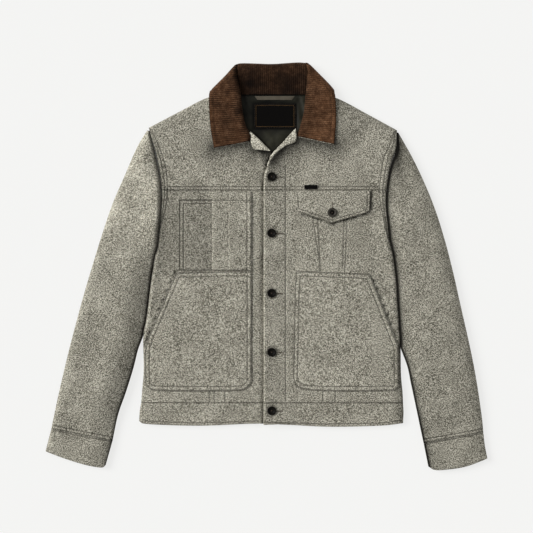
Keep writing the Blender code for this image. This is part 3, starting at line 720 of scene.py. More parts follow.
def lining_finish():
    made = Finish("lining_twill", 0.55, Specular_IOR_Level=0.12)
    threads = made.grain(0.7, 2.0, 0.6, (1.0, 2.4, 1.0))
    worn = made.grain(22.0, 2.0)
    colour = made.ramp(threads * 0.5 + worn * 0.5, [(0.35, (0.006, 0.006, 0.004)),
                                                    (0.65, (0.022, 0.021, 0.014))])
    made.bump(threads, 0.12, 0.5)
    return made.done(made.toned(colour), worn * 0.2 + 0.42)


def woven_finish(name, low, high, roughness=0.75):
    """A small plain weave, for tape, label and thread."""
    made = Finish(name, roughness, Specular_IOR_Level=0.05)
    threads = made.grain(0.6, 2.0, 0.6, (1.0, 2.0, 1.0))
    made.bump(threads, 0.12, 0.6)
    return made.done(made.ramp(threads, [(0.3, low), (0.7, high)]))


def horn_finish(name, low, high):
    made = Finish(name, 0.5, Specular_IOR_Level=0.05)
    cloud = made.grain(4.0, 3.0, 0.6, (1.0, 2.2, 1.0))
    made.bump(made.grain(1.5), 0.03, 0.4)
    return made.done(made.ramp(cloud, [(0.35, low), (0.7, high)]), cloud * 0.25 + 0.36)


FINISHES = {
    # name: material, the record's slot
    "wool": (wool_finish("heather_wool"), "wool"),
    # a lighter copy of the wool: painted light on the turned facings and the under collars
    "wool_painted_lit": (wool_finish("heather_wool_painted_lit", 1.38), "wool"),
    "corduroy": (corduroy_finish(), "collar_cord"),
    "lining": (lining_finish(), "lining"),
    "label": (woven_finish("label_weave", (0.0012, 0.001, 0.0009), (0.005, 0.0045, 0.004), 0.9),
              "label"),
    "border": (woven_finish("label_border", (0.10, 0.055, 0.022), (0.20, 0.12, 0.05)), "label"),
    "tape": (woven_finish("hanger_tape", (0.055, 0.048, 0.036), (0.12, 0.105, 0.08)), "tape"),
    "thread": (woven_finish("topstitch_thread", (0.105, 0.098, 0.080), (0.19, 0.18, 0.15), 0.8),
               "wool"),
    "brown_thread": (woven_finish("collar_thread", (0.05, 0.026, 0.014), (0.10, 0.055, 0.03)),
                     "collar_cord"),
    "dark_thread": (woven_finish("button_thread", (0.035, 0.026, 0.02), (0.09, 0.07, 0.055)), "wool"),
    "hole_thread": (woven_finish("buttonhole_thread", (0.045, 0.033, 0.024), (0.10, 0.078, 0.06)), "wool"),
    "horn": (horn_finish("button_horn", (0.003, 0.0026, 0.002), (0.009, 0.008, 0.0065)), "horn"),
    # a lighter copy of the horn: a painted highlight on the flap button's rim
    "horn_highlight": (horn_finish("button_rim_highlight", (0.02, 0.018, 0.015), (0.075, 0.068, 0.057)), "horn"),
}


# Camera, light and floor

PHOTO_WIDTH = 1.0394      # metres that the photo's width covers on the cloth
CLOTH_HEIGHT = 0.014
CAMERA_HEIGHT = 3.4
SENSOR_WIDTH = 36.0
FLOOR_REACH = 16.0
FLOOR_Z = -0.0004
SUNS = [
    # name, strength, angle, direction that it shines from
    ("key_light", 3.45, 32, (-0.76, 0.24, 0.56)),
    ("fill_light", 0.25, 60, (0.6, 0.4, 0.65)),
]


def set_stage():
    scene = bpy.context.scene
    camera = bpy.data.cameras.new("camera")
    camera.lens = SENSOR_WIDTH * (CAMERA_HEIGHT - CLOTH_HEIGHT) / PHOTO_WIDTH
    scene.camera = add_object("camera", camera)
    scene.camera.location = (-0.001, 0.0, CAMERA_HEIGHT)

    scene.world = bpy.data.worlds.new("studio")
    scene.world.use_nodes = True
    sky = scene.world.node_tree.nodes["Background"].inputs
    sky["Color"].default_value = (0.97, 0.985, 1.0, 1.0)
    sky["Strength"].default_value = 0.33
    for name, strength, angle, source in SUNS:
        sun = bpy.data.lights.new(name, "SUN")
        sun.energy, sun.angle = strength, math.radians(angle)
        add_object(name, sun).rotation_euler = Vector(source).to_track_quat("Z", "Y").to_euler()

    bm = bmesh.new()
    bmesh.ops.create_grid(bm, x_segments=1, y_segments=1, size=FLOOR_REACH)
    bmesh.ops.translate(bm, verts=bm.verts, vec=(0, 0, FLOOR_Z))
    mesh = bpy.data.meshes.new("floor")
    bm.to_mesh(mesh)
    bm.free()
    paper = Finish("floor_paper", 0.9, Specular_IOR_Level=0.1, Emission_Strength=1.0,
                   Emission_Color=(0.755, 0.755, 0.745, 1.0))
    faint = paper.ramp(paper.grain(60.0), [(0.0, (0.145, 0.145, 0.142)), (1.0, (0.15, 0.15, 0.147))])
    mesh.materials.append(paper.done(faint))
    add_object("floor", mesh)
    scene.view_settings.view_transform = "Standard"


# Body

CLOSE = (1.2, 2.4, 4.0, 7.0, 10.5)  # distances from a mesh's edge to its first rows
CELL = 6.0
NECK_SHADE = [
    # lower edges of the collar and of the turned facings, below which the fronts are a little darker
    straight((-103, 231), (-34, 244), (-28, 230), (4, 224)),
    straight((131, 238), (58, 252), (55, 242), (30, 229), (10, 208)),
]
SHADE_LINES = {
    # just outside the edges of the flap and of the pockets' slanted openings
    "right": [curve([(-236.5, -146), (-235, -141), (-179, -9.4)])],
    "left": [straight((56.5, 109), (58, 106), (63, 104.3), (122, 84.6), (127, 83.4), (132, 84.4),
                      (192, 102), (200, 106), (202, 112), (203.5, 146)),
             straight((202.5, -12.6), (251.5, -137.5))],
}


def side_shade(points):
    """The front grows darker towards the wearer's right armhole."""
    x, y = points.T
    below_yoke = 1 - smooth_step(y, 148, 170)
    return 0.18 * (1 - smooth_step(x, -122, -100)) * smooth_step(y, -40, 10) * below_yoke


def front_tone(side, points, heights):
    """Painted shade in the dents along the stitching, in the seams, below the collar, at the armholes and
    along the sides; painted highlights on the edges' rolls.
    """
    x, y = points.T
    neck, right_arm = closest(points, NECK_SHADE), distance_to(points, RIGHT_ARM_SEAM)
    left_arm, left_side = distance_to(points, LEFT_ARM_SEAM), distance_to(points, LEFT_BODY_SIDE)
    tone = (wool_shade_and_mottle(points, FRONT_ROWS.values(), closest(points, FRONT_SEAMS), 1.7)
            # painted shade below the collar and the facings
            - 0.55 * bell(neck, 27) - 0.28 * bell(neck, 12)
            # painted shade towards the right armhole and a painted highlight on the body's rolled edge beside
            # it
            - 0.09 * bell(right_arm, 55) + 0.30 * bell(right_arm - 3.4, 2.0)
            # painted shade along the left side, beside the left armhole and in the crevice of both armholes
            - 0.42 * bell(left_side, 15) - 0.30 * bell(left_arm, 9)
            - 0.60 * bell(np.minimum(right_arm, left_arm), 1.6)
            # painted shadow just outside the flap and the pockets' openings, and painted shade towards the
            # right armhole
            - 0.86 * bell(nearest(points, SHADE_LINES[side]), 1.6) - side_shade(points))
    if side == "right":
        # painted shade beside the lap's edge and past the crease, and a painted highlight along the crease
        past_crease = 0.968 * (x + 15.6) + 0.252 * (y - 220)
        crease_shadow = smooth_step(past_crease, 1.5, 5.0) * smooth_step(y, 184, 200)
        return (tone - 0.70 * bell(past_lap(points) + 0.8, 1.8) - 0.15 * crease_shadow
                + 0.42 * bell(distance_to(points, LAP_CREASE), 1.9))
    # a painted highlight along the lap's edge
    lap_edge_highlight = (0.30 + 0.25 * smooth_step(y, 140, 200)) * bell(distance_to(points, LAP_EDGE) - 1.5, 1.8)
    to_buttons = np.min([np.hypot(x - BUTTON_X, y - at) for at in BUTTON_YS], axis=0)
    # painted shadow in a ring around each button
    button_shadow = 0.5 * bell(np.maximum(to_buttons - 7.5, 0), 3.6)
    # painted shade over the lap up to the facing's stitching, and on the left yoke beside the collar leaf
    return (tone - 0.14 * (1 - smooth_step(x, FACING_X - 2, FACING_X + 2))
            - 0.22 * smooth_step(y, 240, 285) * smooth_step(x, 120, 160)
            + (lap_edge_highlight - button_shadow) * (heights > LAP_FLOOR))


def near_rows(plan):
    """The rows that pass over a plan."""
    low, high = plan.min(axis=(0, 1)) - 10, plan.max(axis=(0, 1)) + 10
    return [row for row in FRONT_ROWS.values()
            if (row.max(axis=0) > low).all() and (row.min(axis=0) < high).all()]


FRONTS = {
    # side: form, underside
    "right": (right_front_form, level(FRONT_FLOOR)),
    "left": (left_front_form, left_front_underside),
}


def front_piece(name, side, plan):
    form, underside = FRONTS[side]
    cloth(f"{name}_{side}", plan, underside, front_top(form), rows=near_rows(plan),
          tone=functools.partial(front_tone, side))


def build_body():
    across = marks(507, 12, CLOSE)
    waist = straight(RIGHT_SIDE[-1], LEFT_SIDE[-1])
    top = join(curve(RIGHT_SHOULDER)[:-4], straight(*BACK_NECK), curve(LEFT_SHOULDER)[::-1][4:])
    sides = [join(line[::-1], yoke[::-1]) for line, yoke in ((RIGHT_PANEL_EDGE, RIGHT_YOKE_EDGE),
                                                             (LEFT_PANEL_EDGE, LEFT_YOKE_EDGE))]
    cloth("back", patch(waist, top, *sides, across, marks(560, 12, CLOSE)), back_underside, back_top)
    right_end, left_end = straight(*RIGHT_BAND_END[::-1]), straight(*LEFT_BAND_END[::-1])
    band_up = marks(42, 5, CLOSE[:4])
    cloth("waistband_back", patch(HEM_LINE, waist, right_end, left_end, across, band_up),
          back_underside, back_top)

    panel_marks = marks(281, CELL, CLOSE), marks(418, CELL, CLOSE)
    yoke_marks = marks(260, CELL, CLOSE), marks(140, CELL, CLOSE)
    band_marks = panel_marks[0], band_up

    low = straight(RIGHT_SIDE[-1], (RIGHT_EDGE_X, WAIST_SEAM_Y))
    high = straight(RIGHT_ARMHOLE_YOKE[-1], (RIGHT_EDGE_X, YOKE_SEAM_Y))
    hem = np.vstack([HEM_LINE[HEM_LINE[:, 0] < -9], [(-9, -307), (RIGHT_EDGE_X, HEM_MIDDLE_Y)]])
    front_piece("front_panel", "right",
                patch(low, high, RIGHT_PANEL_EDGE[::-1], [low[1], high[1]], *panel_marks))
    front_piece("front_yoke", "right",
                patch(high, RIGHT_TOP_LINE, RIGHT_YOKE_EDGE[::-1], [high[1], RIGHT_CORNER], *yoke_marks))
    front_piece("waistband", "right", patch(hem, low, right_end, [hem[-1], low[1]], *band_marks))

    low = straight((LEFT_EDGE_X, WAIST_SEAM_Y), LEFT_SIDE[-1])
    high = straight((LEFT_EDGE_X, YOKE_SEAM_Y), LEFT_ARMHOLE_YOKE[-1])
    hem = np.vstack([[(LEFT_EDGE_X, HEM_MIDDLE_Y)], HEM_LINE[HEM_LINE[:, 0] > 20]])
    front_piece("front_panel", "left",
                patch(low, high, [low[0], high[0]], LEFT_PANEL_EDGE[::-1], *panel_marks))
    front_piece("front_yoke", "left",
                patch(high, LEFT_TOP_LINE[::-1], curve(LAP_CURVE)[::-1], LEFT_YOKE_EDGE[::-1], *yoke_marks))
    front_piece("waistband", "left", patch(hem, low, [hem[0], low[0]], left_end, *band_marks))

    for side, sign in (("right", -1), ("left", 1)):
        rows = [row for row in FRONT_ROWS.values() if (row[:, 0].mean() + 8) * sign > 0]
        stitch(f"front_stitching_{side}", rows, front_top(FRONTS[side][0]))


# Sleeves and cuffs

SLEEVE_WALL = 6.5        # thickness of the upper wall where the sleeve stands high
SLEEVE_INSET = 0.3
CUFF_INSET = 0.4
CUFF_ROWS = (3.0, 9.0)   # distances from the cuff's seam
SLEEVE_FOLDS = [
    # start x, y, end x, y, half width, depth
    (-216, 120, -262, 150, 16, 1.6),
    (-226, 20, -296, 74, 20, 2.0),
    (-236, -60, -318, -20, 18, 1.6),
    (-350, -110, -262, -170, 20, 1.8),
    (-396, -236, -300, -262, 14, 1.5),
    (-300, 60, -262, 110, 22, -1.0),
    (-330, -60, -290, -110, 20, -0.9),
    (-380, -150, -340, -210, 16, 1.0),
    (-372, -290, -330, -300, 10, 1.0),
    (240, 110, 292, 150, 16, 1.6),
    (250, 20, 322, 66, 20, 2.0),
    (262, -96, 350, -58, 18, 1.6),
    (380, -150, 290, -200, 20, 1.8),
    (404, -262, 312, -286, 14, 1.5),
    (300, 70, 270, 120, 22, -1.0),
    (350, -110, 306, -150, 20, -0.9),
    (360, -300, 330, -312, 8, 1.1),
    (388, -306, 352, -318, 7, 1.0),
]


def build_sleeve(side, armhole, outer_points, inner_points, *cuff):
    right = side == "right"
    outer = curve(outer_points)
    outer = walk(outer, np.linspace(length_of(armhole[:2]) / length_of(outer), 1, 120))
    inner = join(cut_at(armhole, inner_points[0][1])[0][1:], curve(inner_points))
    cuff_outer, cuff_inner, cuff_end = (curve(line) for line in cuff)
    outer_fold, inner_fold = join(outer, cuff_outer), join(inner, cuff_inner)
    seam = straight(outer[-1], inner[-1])
    way = (seam[1] - seam[0]) / np.linalg.norm(seam[1] - seam[0])
    up = np.array([-way[1], way[0]]) * np.sign(way[0])
    rows = [seam + up * lift + np.array([way * 2, -way * 2]) for lift in CUFF_ROWS]

    def form(points):
        to_outer, to_inner = distance_to(points, outer_fold), distance_to(points, inner_fold)
        y = points[:, 1]
        low_arm = 1 - smooth_step(y, -60, 90)
        fold = between(0.12, 1.0, rounded(to_outer, 26))
        broad = between(0.35, 1.0, rounded(to_outer, 75))
        reach, gentle = (between(30, 52, low_arm), between(0.12, 0.5, low_arm)) if right else (26, 0.3)
        valley = rounded(to_inner, 7 if right else 10) * (1 - gentle * (1 - smooth_step(to_inner, 0, reach)))
        crown = SLEEVE_SWELL * broad * between(0.35, 1.0, smooth_step(y, -330, -250))
        ripple = 0.6 * uneven(points, 60, 2.2) * smooth_step(np.minimum(to_inner, to_outer), 4, 30)
        loft = (SLEEVE_LOFT + crown) * valley - folded(points, SLEEVE_FOLDS)
        return SLEEVE_FLOOR + loft * fold + ripple

    def top(points):
        z = form(points) - sewing(points, rows) - SLEEVE_SEAM_DROP * rolled_in(points, seam)
        return np.maximum(z, SLEEVE_FLOOR + 0.4)

    def cuff_top(points):
        to_fold = closest(points, [outer_fold, inner_fold])
        end = between(0.45, 1.0, rounded(distance_to(points, cuff_end), 5))
        z = SLEEVE_FLOOR + CUFF_LOFT * np.minimum(between(0.15, 1.0, rounded(to_fold, 24)), end)
        z = z + 0.4 * uneven(points, 26, 6.0) * smooth_step(to_fold, 2, 14)
        return z - SLEEVE_SEAM_DROP * rolled_in(points, seam)

    def underside(points):
        return UNDERSIDE_LIFT * (1 - rounded(closest(points, [outer_fold, inner_fold]), 14))

    # Painted shade along the inner fold, in the armhole's crevice and at the shoulder, painted light on the
    # upper arm, a painted highlight at the outer fold, and a tone a little uneven all over.
    def tone(points, heights):
        x, y = points.T
        to_outer, to_inner = distance_to(points, outer_fold), distance_to(points, inner_fold)
        low_arm = 1 - smooth_step(y, -60, 90)
        if right:
            # wearer's right: painted shade along the inner fold, in a wedge at the shoulder and near the
            # outer fold; painted light on the upper arm and beside the inner fold
            depth = between(0.25, 0.45, low_arm) - 0.22 * (1 - smooth_step(y, -330, -270))
            shade = (depth * bell(to_inner, between(6, 26, low_arm)) - 0.30 * smooth_step(y, -20, 120)
                     + 0.50 * bell(x + 228, 12) * bell(y - 211, 30) + 0.66 * bell(to_inner, 3.2)
                     + 0.16 * bell(to_outer, 30) - 0.17 * bell(to_inner - 20, 16) * (1 - low_arm))
        else:
            # wearer's left: painted shade in a wedge at the shoulder, in the armhole's crevice and along the
            # inner fold, painted light at the outer top, and a little darker all over
            shade = (0.45 * bell(x - 257, 11) * bell(y - 205, 42) + 0.66 * bell(to_inner, 4.2)
                     - 0.18 * smooth_step(x, 266, 284) * smooth_step(y, 140, 195)
                     + 0.46 * bell(to_inner, 13 + 4 * uneven(points, 30, 8.0))
                     + 0.09 + 0.02 * (1 - smooth_step(y, -330, -220)))
        # lighter at the outer fold: a painted highlight
        return wool_shade_and_mottle(points, rows, distance_to(points, seam), 2.7) + 0.12 * bell(to_outer, 8) - shade

    sides, cuff_sides = (outer, inner), (cuff_outer, cuff_inner)
    if not right:
        sides, cuff_sides, cuff_end = sides[::-1], cuff_sides[::-1], cuff_end[::-1]
    across = marks(105, 5, CLOSE[:4])
    plan = panel(*(line[::-1] for line in sides), across, marks(600, CELL, CLOSE[:3]))
    cuff_plan = patch(cuff_end, [line[-1] for line in sides], *(line[::-1] for line in cuff_sides),
                      across, marks(48, 4, CLOSE[:4]))
    cloth(f"sleeve_{side}_upper", plan, lambda points: np.maximum(form(points) - SLEEVE_WALL, SLEEVE_FLOOR),
          top, rows=rows, tone=tone, gap=SLEEVE_INSET)
    cloth(f"sleeve_{side}_under", plan, underside, level(UNDER_TOP), gap=SLEEVE_INSET)
    cloth(f"cuff_{side}_upper", cuff_plan, level(SLEEVE_FLOOR), cuff_top, tone=tone, gap=CUFF_INSET)
    cloth(f"cuff_{side}_under", cuff_plan, underside, level(UNDER_TOP), gap=CUFF_INSET)
    stitch(f"cuff_stitching_{side}", rows, top)


# Collar

WALE = 3.8
RIGHT_LEAF_OUTER = curve([(-103.5, 231), (-109, 262), (-112, 291), (-113, 336), (-108.5, 346), (-96, 359),
                          (-81, 374), (-69, 387.5), (-65, 391.5)])
RIGHT_LEAF_INNER = curve([(-33.5, 244), (-33, 257), (-42, 277), (-48, 305), (-51, 335), (-57, 362),
                          (-60, 382), (-59, 394.5)])
LEFT_LEAF_OUTER = curve([(131, 238.5), (133.5, 265), (135, 291), (132.5, 338), (127, 351), (100, 379),
                         (87, 392), (82, 396)])
LEFT_LEAF_INNER = curve([(58.5, 254), (63, 268), (72, 303), (75, 334), (78, 360), (79, 383), (75, 397.5)])
STAND_LOW = curve([(-56, 336), (9, 336.5), (84, 336)])
STAND_HIGH = curve([(-62, 394), (-48, 397.5), (9, 396), (60, 399), (81, 397)])


def ribbed(phase):
    """The pile's ridges: 0 in a groove and 1 along a ridge."""
    return np.abs(np.cos(np.pi * phase / WALE)) ** 1.1


def leaf_phase(points):
    return points[:, 1] + 0.05 * points[:, 0] + 1.2 * uneven(points, 60, 9.0)


def leaf_form(outer, inner, low):
    back = outer[outer[:, 1] > 337]

    def form(points):
        to_outer, to_inner = distance_to(points, outer), distance_to(points, inner)
        height = 19.0 + 2.0 * smooth_step(points[:, 1], 318, 350)
        height = height + 1.3 * bell(to_inner - 9, 9) + 0.5 * uneven(points, 34, 7.0)
        height -= 1.6 * (1 - rounded(np.minimum(to_outer, distance_to(points, low)), 4.0))
        height -= 5.0 * (1 - rounded(to_inner, 8.0))
        return height - (height - 3.0) * 0.9 * (1 - rounded(distance_to(points, back), 11.0))
    return form


def stand_form(points):
    rise = smooth_step(points[:, 1], 337, 386)
    height = between(8.6, 16.6, rise) - 12.0 * (1 - rounded(distance_to(points, STAND_HIGH), 9.0))
    ends = closest(points, [[STAND_LOW[k], STAND_HIGH[k]] for k in (0, -1)])
    height = height + 0.5 * uneven(points, 30, 1.0)
    return height - (height - 4.0) * (1 - rounded(ends, 6.0))


def build_leaf(side, outer, inner, painted_lightness, inward):
    """A collar leaf, and the under collar that shows below its front."""
    low = np.array([outer[0], inner[0]])
    sides = (outer, inner) if side == "right" else (inner, outer)
    form = leaf_form(outer, inner, low)
    rows = [walk(beside(outer, inward), np.linspace(0.06, 0.93, 60)),
            walk(low + np.array([0, 9.0]), np.linspace(0.13, 0.94, 30))]

    def top(points):
        return form(points) + 0.75 * ribbed(leaf_phase(points)) - 1.1 * sewn(points, rows, 1.4)

    # Painted shade in the grooves, along the stitching, along the inner edge and at the border; painted
    # highlights on the ridges, beside the stitching and just inside the border; the leaf's painted lightness;
    # a tone a little uneven all over.
    def tone(points, heights):
        ridge, ridge_contrast = ribbed(leaf_phase(points)), 0.5 + 0.5 * uneven(points, 16, 3.3)
        border = closest(points, [outer, low])
        return (painted_lightness + between(0.35, 1.3, ridge_contrast) * (ridge - 0.6) - 0.45 * sewn(points, rows, 1.2)
                + 0.4 * sewn(points, rows, 3.2) - 0.45 * bell(distance_to(points, inner), 11)
                - 0.45 * bell(border, 1.4) + 0.25 * bell(border - 3, 1.6)
                + 0.22 * uneven(points, 13, 6.6) + 0.16 * uneven(points, 42, 1.6))

    def underside(points):
        """2 mm below the top, and down to the stand or the cloth along the inner edge."""
        wall = 1 - smooth_step(distance_to(points, inner), 1.2, 4.0)
        near_front = smooth_step(points[:, 1], 256, 268)
        foot = between(5.7, stand_form(points) + 0.2, smooth_step(points[:, 1], 334, 339))
        under = np.maximum(form(points) - 2.0, 0.8)
        return between(under, np.minimum(foot, under), wall * near_front)

    cloth(f"collar_leaf_{side}", panel(*sides, marks(70, 1.6), marks(175, 0.62)), underside, top,
          "corduroy", nodes=["collar_upper"], tone=tone, gap=0)
    stitch(f"collar_stitching_{side}", rows, top, "brown_thread", 3.6, 2.6, 0.38, 0.3)
    sides = [join(line[:1] - np.array([0, 1.6]), cut_up(line, 318)) for line in sides]
    # the under collar is in the wool's lighter copy, which is painted light
    cloth(f"collar_under_{side}", panel(*sides, marks(60, 4, CLOSE[:3]), marks(80, 4, CLOSE[:3])),
          level(LEAF_UNDER_FLOOR), lifted(form, -2.6), "wool_painted_lit", gap=0.6)


def build_collar():
    # the right leaf is painted darker and the left lighter, as the light falls on them
    build_leaf("right", RIGHT_LEAF_OUTER, RIGHT_LEAF_INNER, -0.20, -9.0)
    build_leaf("left", LEFT_LEAF_OUTER, LEFT_LEAF_INNER, 0.28, 9.0)

    def stand_top(points):
        return stand_form(points) + 0.7 * ribbed(points[:, 0] - 9)

    def stand_tone(points, heights):
        # Painted shade: the stand darker, most at its foot by the neck seam, with its ridges lighter, partly
        # as painted light; a tone a little uneven.
        shade = between(-0.82, -0.52, smooth_step(points[:, 1], 352, 390)) + 0.14 * uneven(points, 20, 4.6)
        return shade + 0.5 * (ribbed(points[:, 0] - 9) - 0.62) * (1 + shade)

    cloth("collar_stand", strip(STAND_LOW, STAND_HIGH, marks(140, 0.62), marks(60, 2.0)),
          lambda points: np.maximum(stand_form(points) - 2.0, 2.4), stand_top,
          "corduroy", nodes=["collar_upper"], tone=stand_tone, gap=0)
    plan = strip([(-46, 343), (65, 343)], [(-56, 388), (75, 388)], marks(120, 5), marks(45, 5))
    cloth("collar_fall_back", plan, level(0), level(2), "corduroy")
    cloth("collar_under_back", plan, level(2.3), level(5.0), "wool")


def cut_up(line, height):
    """A rising line from its start up to a height."""
    return cut_at(line[::-1], height)[1][::-1]


# Neck

LINING_FOLDS = [
    (-30, 262, -8, 236, 9, 1.2), (6, 240, 34, 266, 10, -0.9), (22, 232, 40, 252, 7, 1.1),
    (-46, 330, -30, 300, 8, 1.0), (62, 326, 70, 292, 7, 1.4), (68, 330, 80, 300, 6, -1.0),
    (-4, 262, 14, 244, 6, -0.8), (-42, 290, -34, 262, 6, -0.7), (16, 226, 14, 250, 6, 0.9),
]


def lining_top(points):
    x, y = points.T
    z = between(7.0 - folded(points, LINING_FOLDS) + 0.4 * uneven(points, 22, 4.4), 5.3,
                smooth_step(y, 332, 335))
    off_label = np.maximum(smooth_step(np.abs(x - 15.5), 42, 47), smooth_step(np.abs(y - 294), 25, 30))
    return np.maximum(between(5.2, z, off_label), LINING_FLOOR + 0.5)


def lining_tone(points, heights):
    # Painted light: higher folds lighter and lower ones darker, and the left and lower parts lighter; a tone
    # a little uneven all over, and darker overall.
    painted_lit_side = smooth_step(points[:, 0], 52, 72) + 0.9 * smooth_step(-points[:, 1], -268, -250)
    return 0.3 * (heights - 6.6) + 0.3 * uneven(points, 24, 8.1) + 0.95 * painted_lit_side - 0.45


def label_top(points):
    return 7.2 + 0.22 * uneven(points, 26, 2.0)


def loop_top(points):
    return 8.2 + 0.5 * uneven(points, 12, 3.0) - 0.8 * np.abs((points[:, 0] - 15) / 37) ** 4


def build_neck():
    plan = strip([(-50, 208), (80, 208)], [(-64, 341), (84, 341)], marks(150, 3), marks(126, 3))
    cloth("back_lining", plan, level(LINING_FLOOR), lining_top, "lining", tone=lining_tone)
    plan = strip([(-25, 270), (56, 270)], [(-25, 318), (56, 318)], marks(81, 3), marks(48, 3))
    cloth("neck_label", plan, level(LABEL_FLOOR), label_top, "label")
    stitch("label_border", box(-21.5, 273.5, 52.5, 314.5), label_top, "border", 2.0, 1.9, 0.28, 0.12)
    stitch("label_stitching", box(-24, 271, 55, 317), label_top, "dark_thread", 3.4, 2.2, 0.3, 0.2)
    plan = strip([(-19, 325.5), (49, 325.5)], [(-24, 333), (54, 333)], marks(76, 2), marks(8, 1.6))
    cloth("hanger_loop", plan, level(TAPE_FLOOR), loop_top, "tape", gap=0)
    ends = [straight((low, 326), (high, 332))
            for low, high in ((-18, -22.5), (-16, -20), (48, 52.5), (46, 50))]
    stitch("hanger_stitching", ends, loop_top, "dark_thread", 2.0, 1.4, 0.3, 0.2)


FACING_RISE = 2.7
FACINGS = [
    # side, outer edge, edge at the neck, height below, line past which the wall goes down, how far
    ("right", [(-34, 261), (-31, 255), (-31.6, 243), (-28.5, 232), (-24, 228.2), (-10, 227), (5, 225)],
     [(-32, 263), (-26, 258), (-13, 246), (6.8, 226)], 14.6, [(-30, 254), RIGHT_CORNER], 8.4),
    ("left", [(1.4, 195), (6, 205.5), (17, 219.7), (28.5, 229.4), (38.5, 236), (48, 239), (54.5, 242.3),
              (57, 247), (57.5, 256), (56, 268)],
     [(-0.4, 196), (3.2, 206), (9, 219), (28.5, 239.5), (44, 257), (55, 269)], LAP_TOP + LAP_RISE,
     [LEFT_CORNER, (54, 260)], 13.0),
]


def build_facings():
    for side, outer, neck_edge, floor, edge, low in FACINGS:
        outer, neck_edge = curve(outer), curve(neck_edge)
        plan = strip(outer, neck_edge, marks(length_of(outer), 1.8), marks(14, 1.0))

        def roll(points, outer=outer, neck_edge=neck_edge):
            over = between(0.35, 1.0, rounded(distance_to(points, outer), 2.2))
            return np.minimum(over, between(0.1, 1.0, rounded(distance_to(points, neck_edge), 4.5)))

        def top(points, floor=floor, roll=roll):
            return floor + PATCH_LIFT + FACING_RISE * roll(points)

        def underside(points, floor=floor, edge=edge, low=low):
            (x1, y1), (x2, y2) = edge
            past = (x2 - x1) * (points[:, 1] - y1) - (y2 - y1) * (points[:, 0] - x1)
            past = past / math.hypot(x2 - x1, y2 - y1)
            return between(floor + PATCH_LIFT, low, smooth_step(past, -0.2, 1.4))

        # the facings are in the wool's lighter copy, which is painted light
        cloth(f"facing_{side}", plan, underside, top, "wool_painted_lit", gap=0)


# Pockets and flap

def patch_top(form, edge, rows, thick=PATCH, roll=2.2):
    def top(points):
        near = distance_to(points, edge)
        z = form(points) + PATCH_LIFT + thick * between(0.25, 1.0, rounded(near, roll))
        return z - sewing(points, rows)
    return top


def patch_tone(edge, rows, dark=0.55):
    def tone(points, heights):
        # Painted shadow along the patch's edge, as deep as dark; painted shade and highlights along the rows;
        # painted shade towards the right armhole; a tone a little uneven all over.
        edge_shadow = dark * bell(distance_to(points, edge), 1.2)
        return row_shade_and_highlight(points, rows) - edge_shadow - side_shade(points) - 0.04 * uneven(points, 25, 1.7)
    return tone


POCKET_ROWS = (2.2, 9.5)  # distances from the pocket's edge


def build_pockets():
    for side, parts in (("right", RIGHT_POCKET), ("left", LEFT_POCKET)):
        form = FRONTS[side][0]
        low, side_line, inner = (curve(parts[key]) for key in ("low", "side", "inner"))
        slant, top_line = (straight(*parts[key]) for key in ("slant", "top"))
        if side == "right":
            high, first, last = join(slant, top_line), side_line, inner
        else:
            high, first, last = join(top_line, slant[::-1]), inner, side_line
        plan = patch(low, high, first, last, marks(215, 5, CLOSE[:4]), marks(225, 5, CLOSE[:4]))
        loop = join(low, last, high[::-1], first[::-1])
        rows = [inner_loop(loop, distance) for distance in POCKET_ROWS]
        top = patch_top(form, loop, rows)
        cloth(f"hand_pocket_{side}", plan, lifted(form, PATCH_LIFT), top, rows=rows, gap=0,
              tone=patch_tone(loop, rows))
        stitch(f"pocket_stitching_{side}", rows, top)


def inner_loop(loop, distance):
    """A closed line drawn in by a distance, with its corners kept clean."""
    dense = walk(loop, np.linspace(0, 1, 400))
    way = np.roll(dense, -1, axis=0) - np.roll(dense, 1, axis=0)
    way /= np.maximum(np.linalg.norm(way, axis=1), 1e-9)[:, None]
    moved = dense + distance * np.column_stack([-way[:, 1], way[:, 0]])
    moved = moved[distance_to(moved, loop) > distance * 0.93]
    return np.vstack([moved, moved[:1]])


PLEATS = (-107, -75)


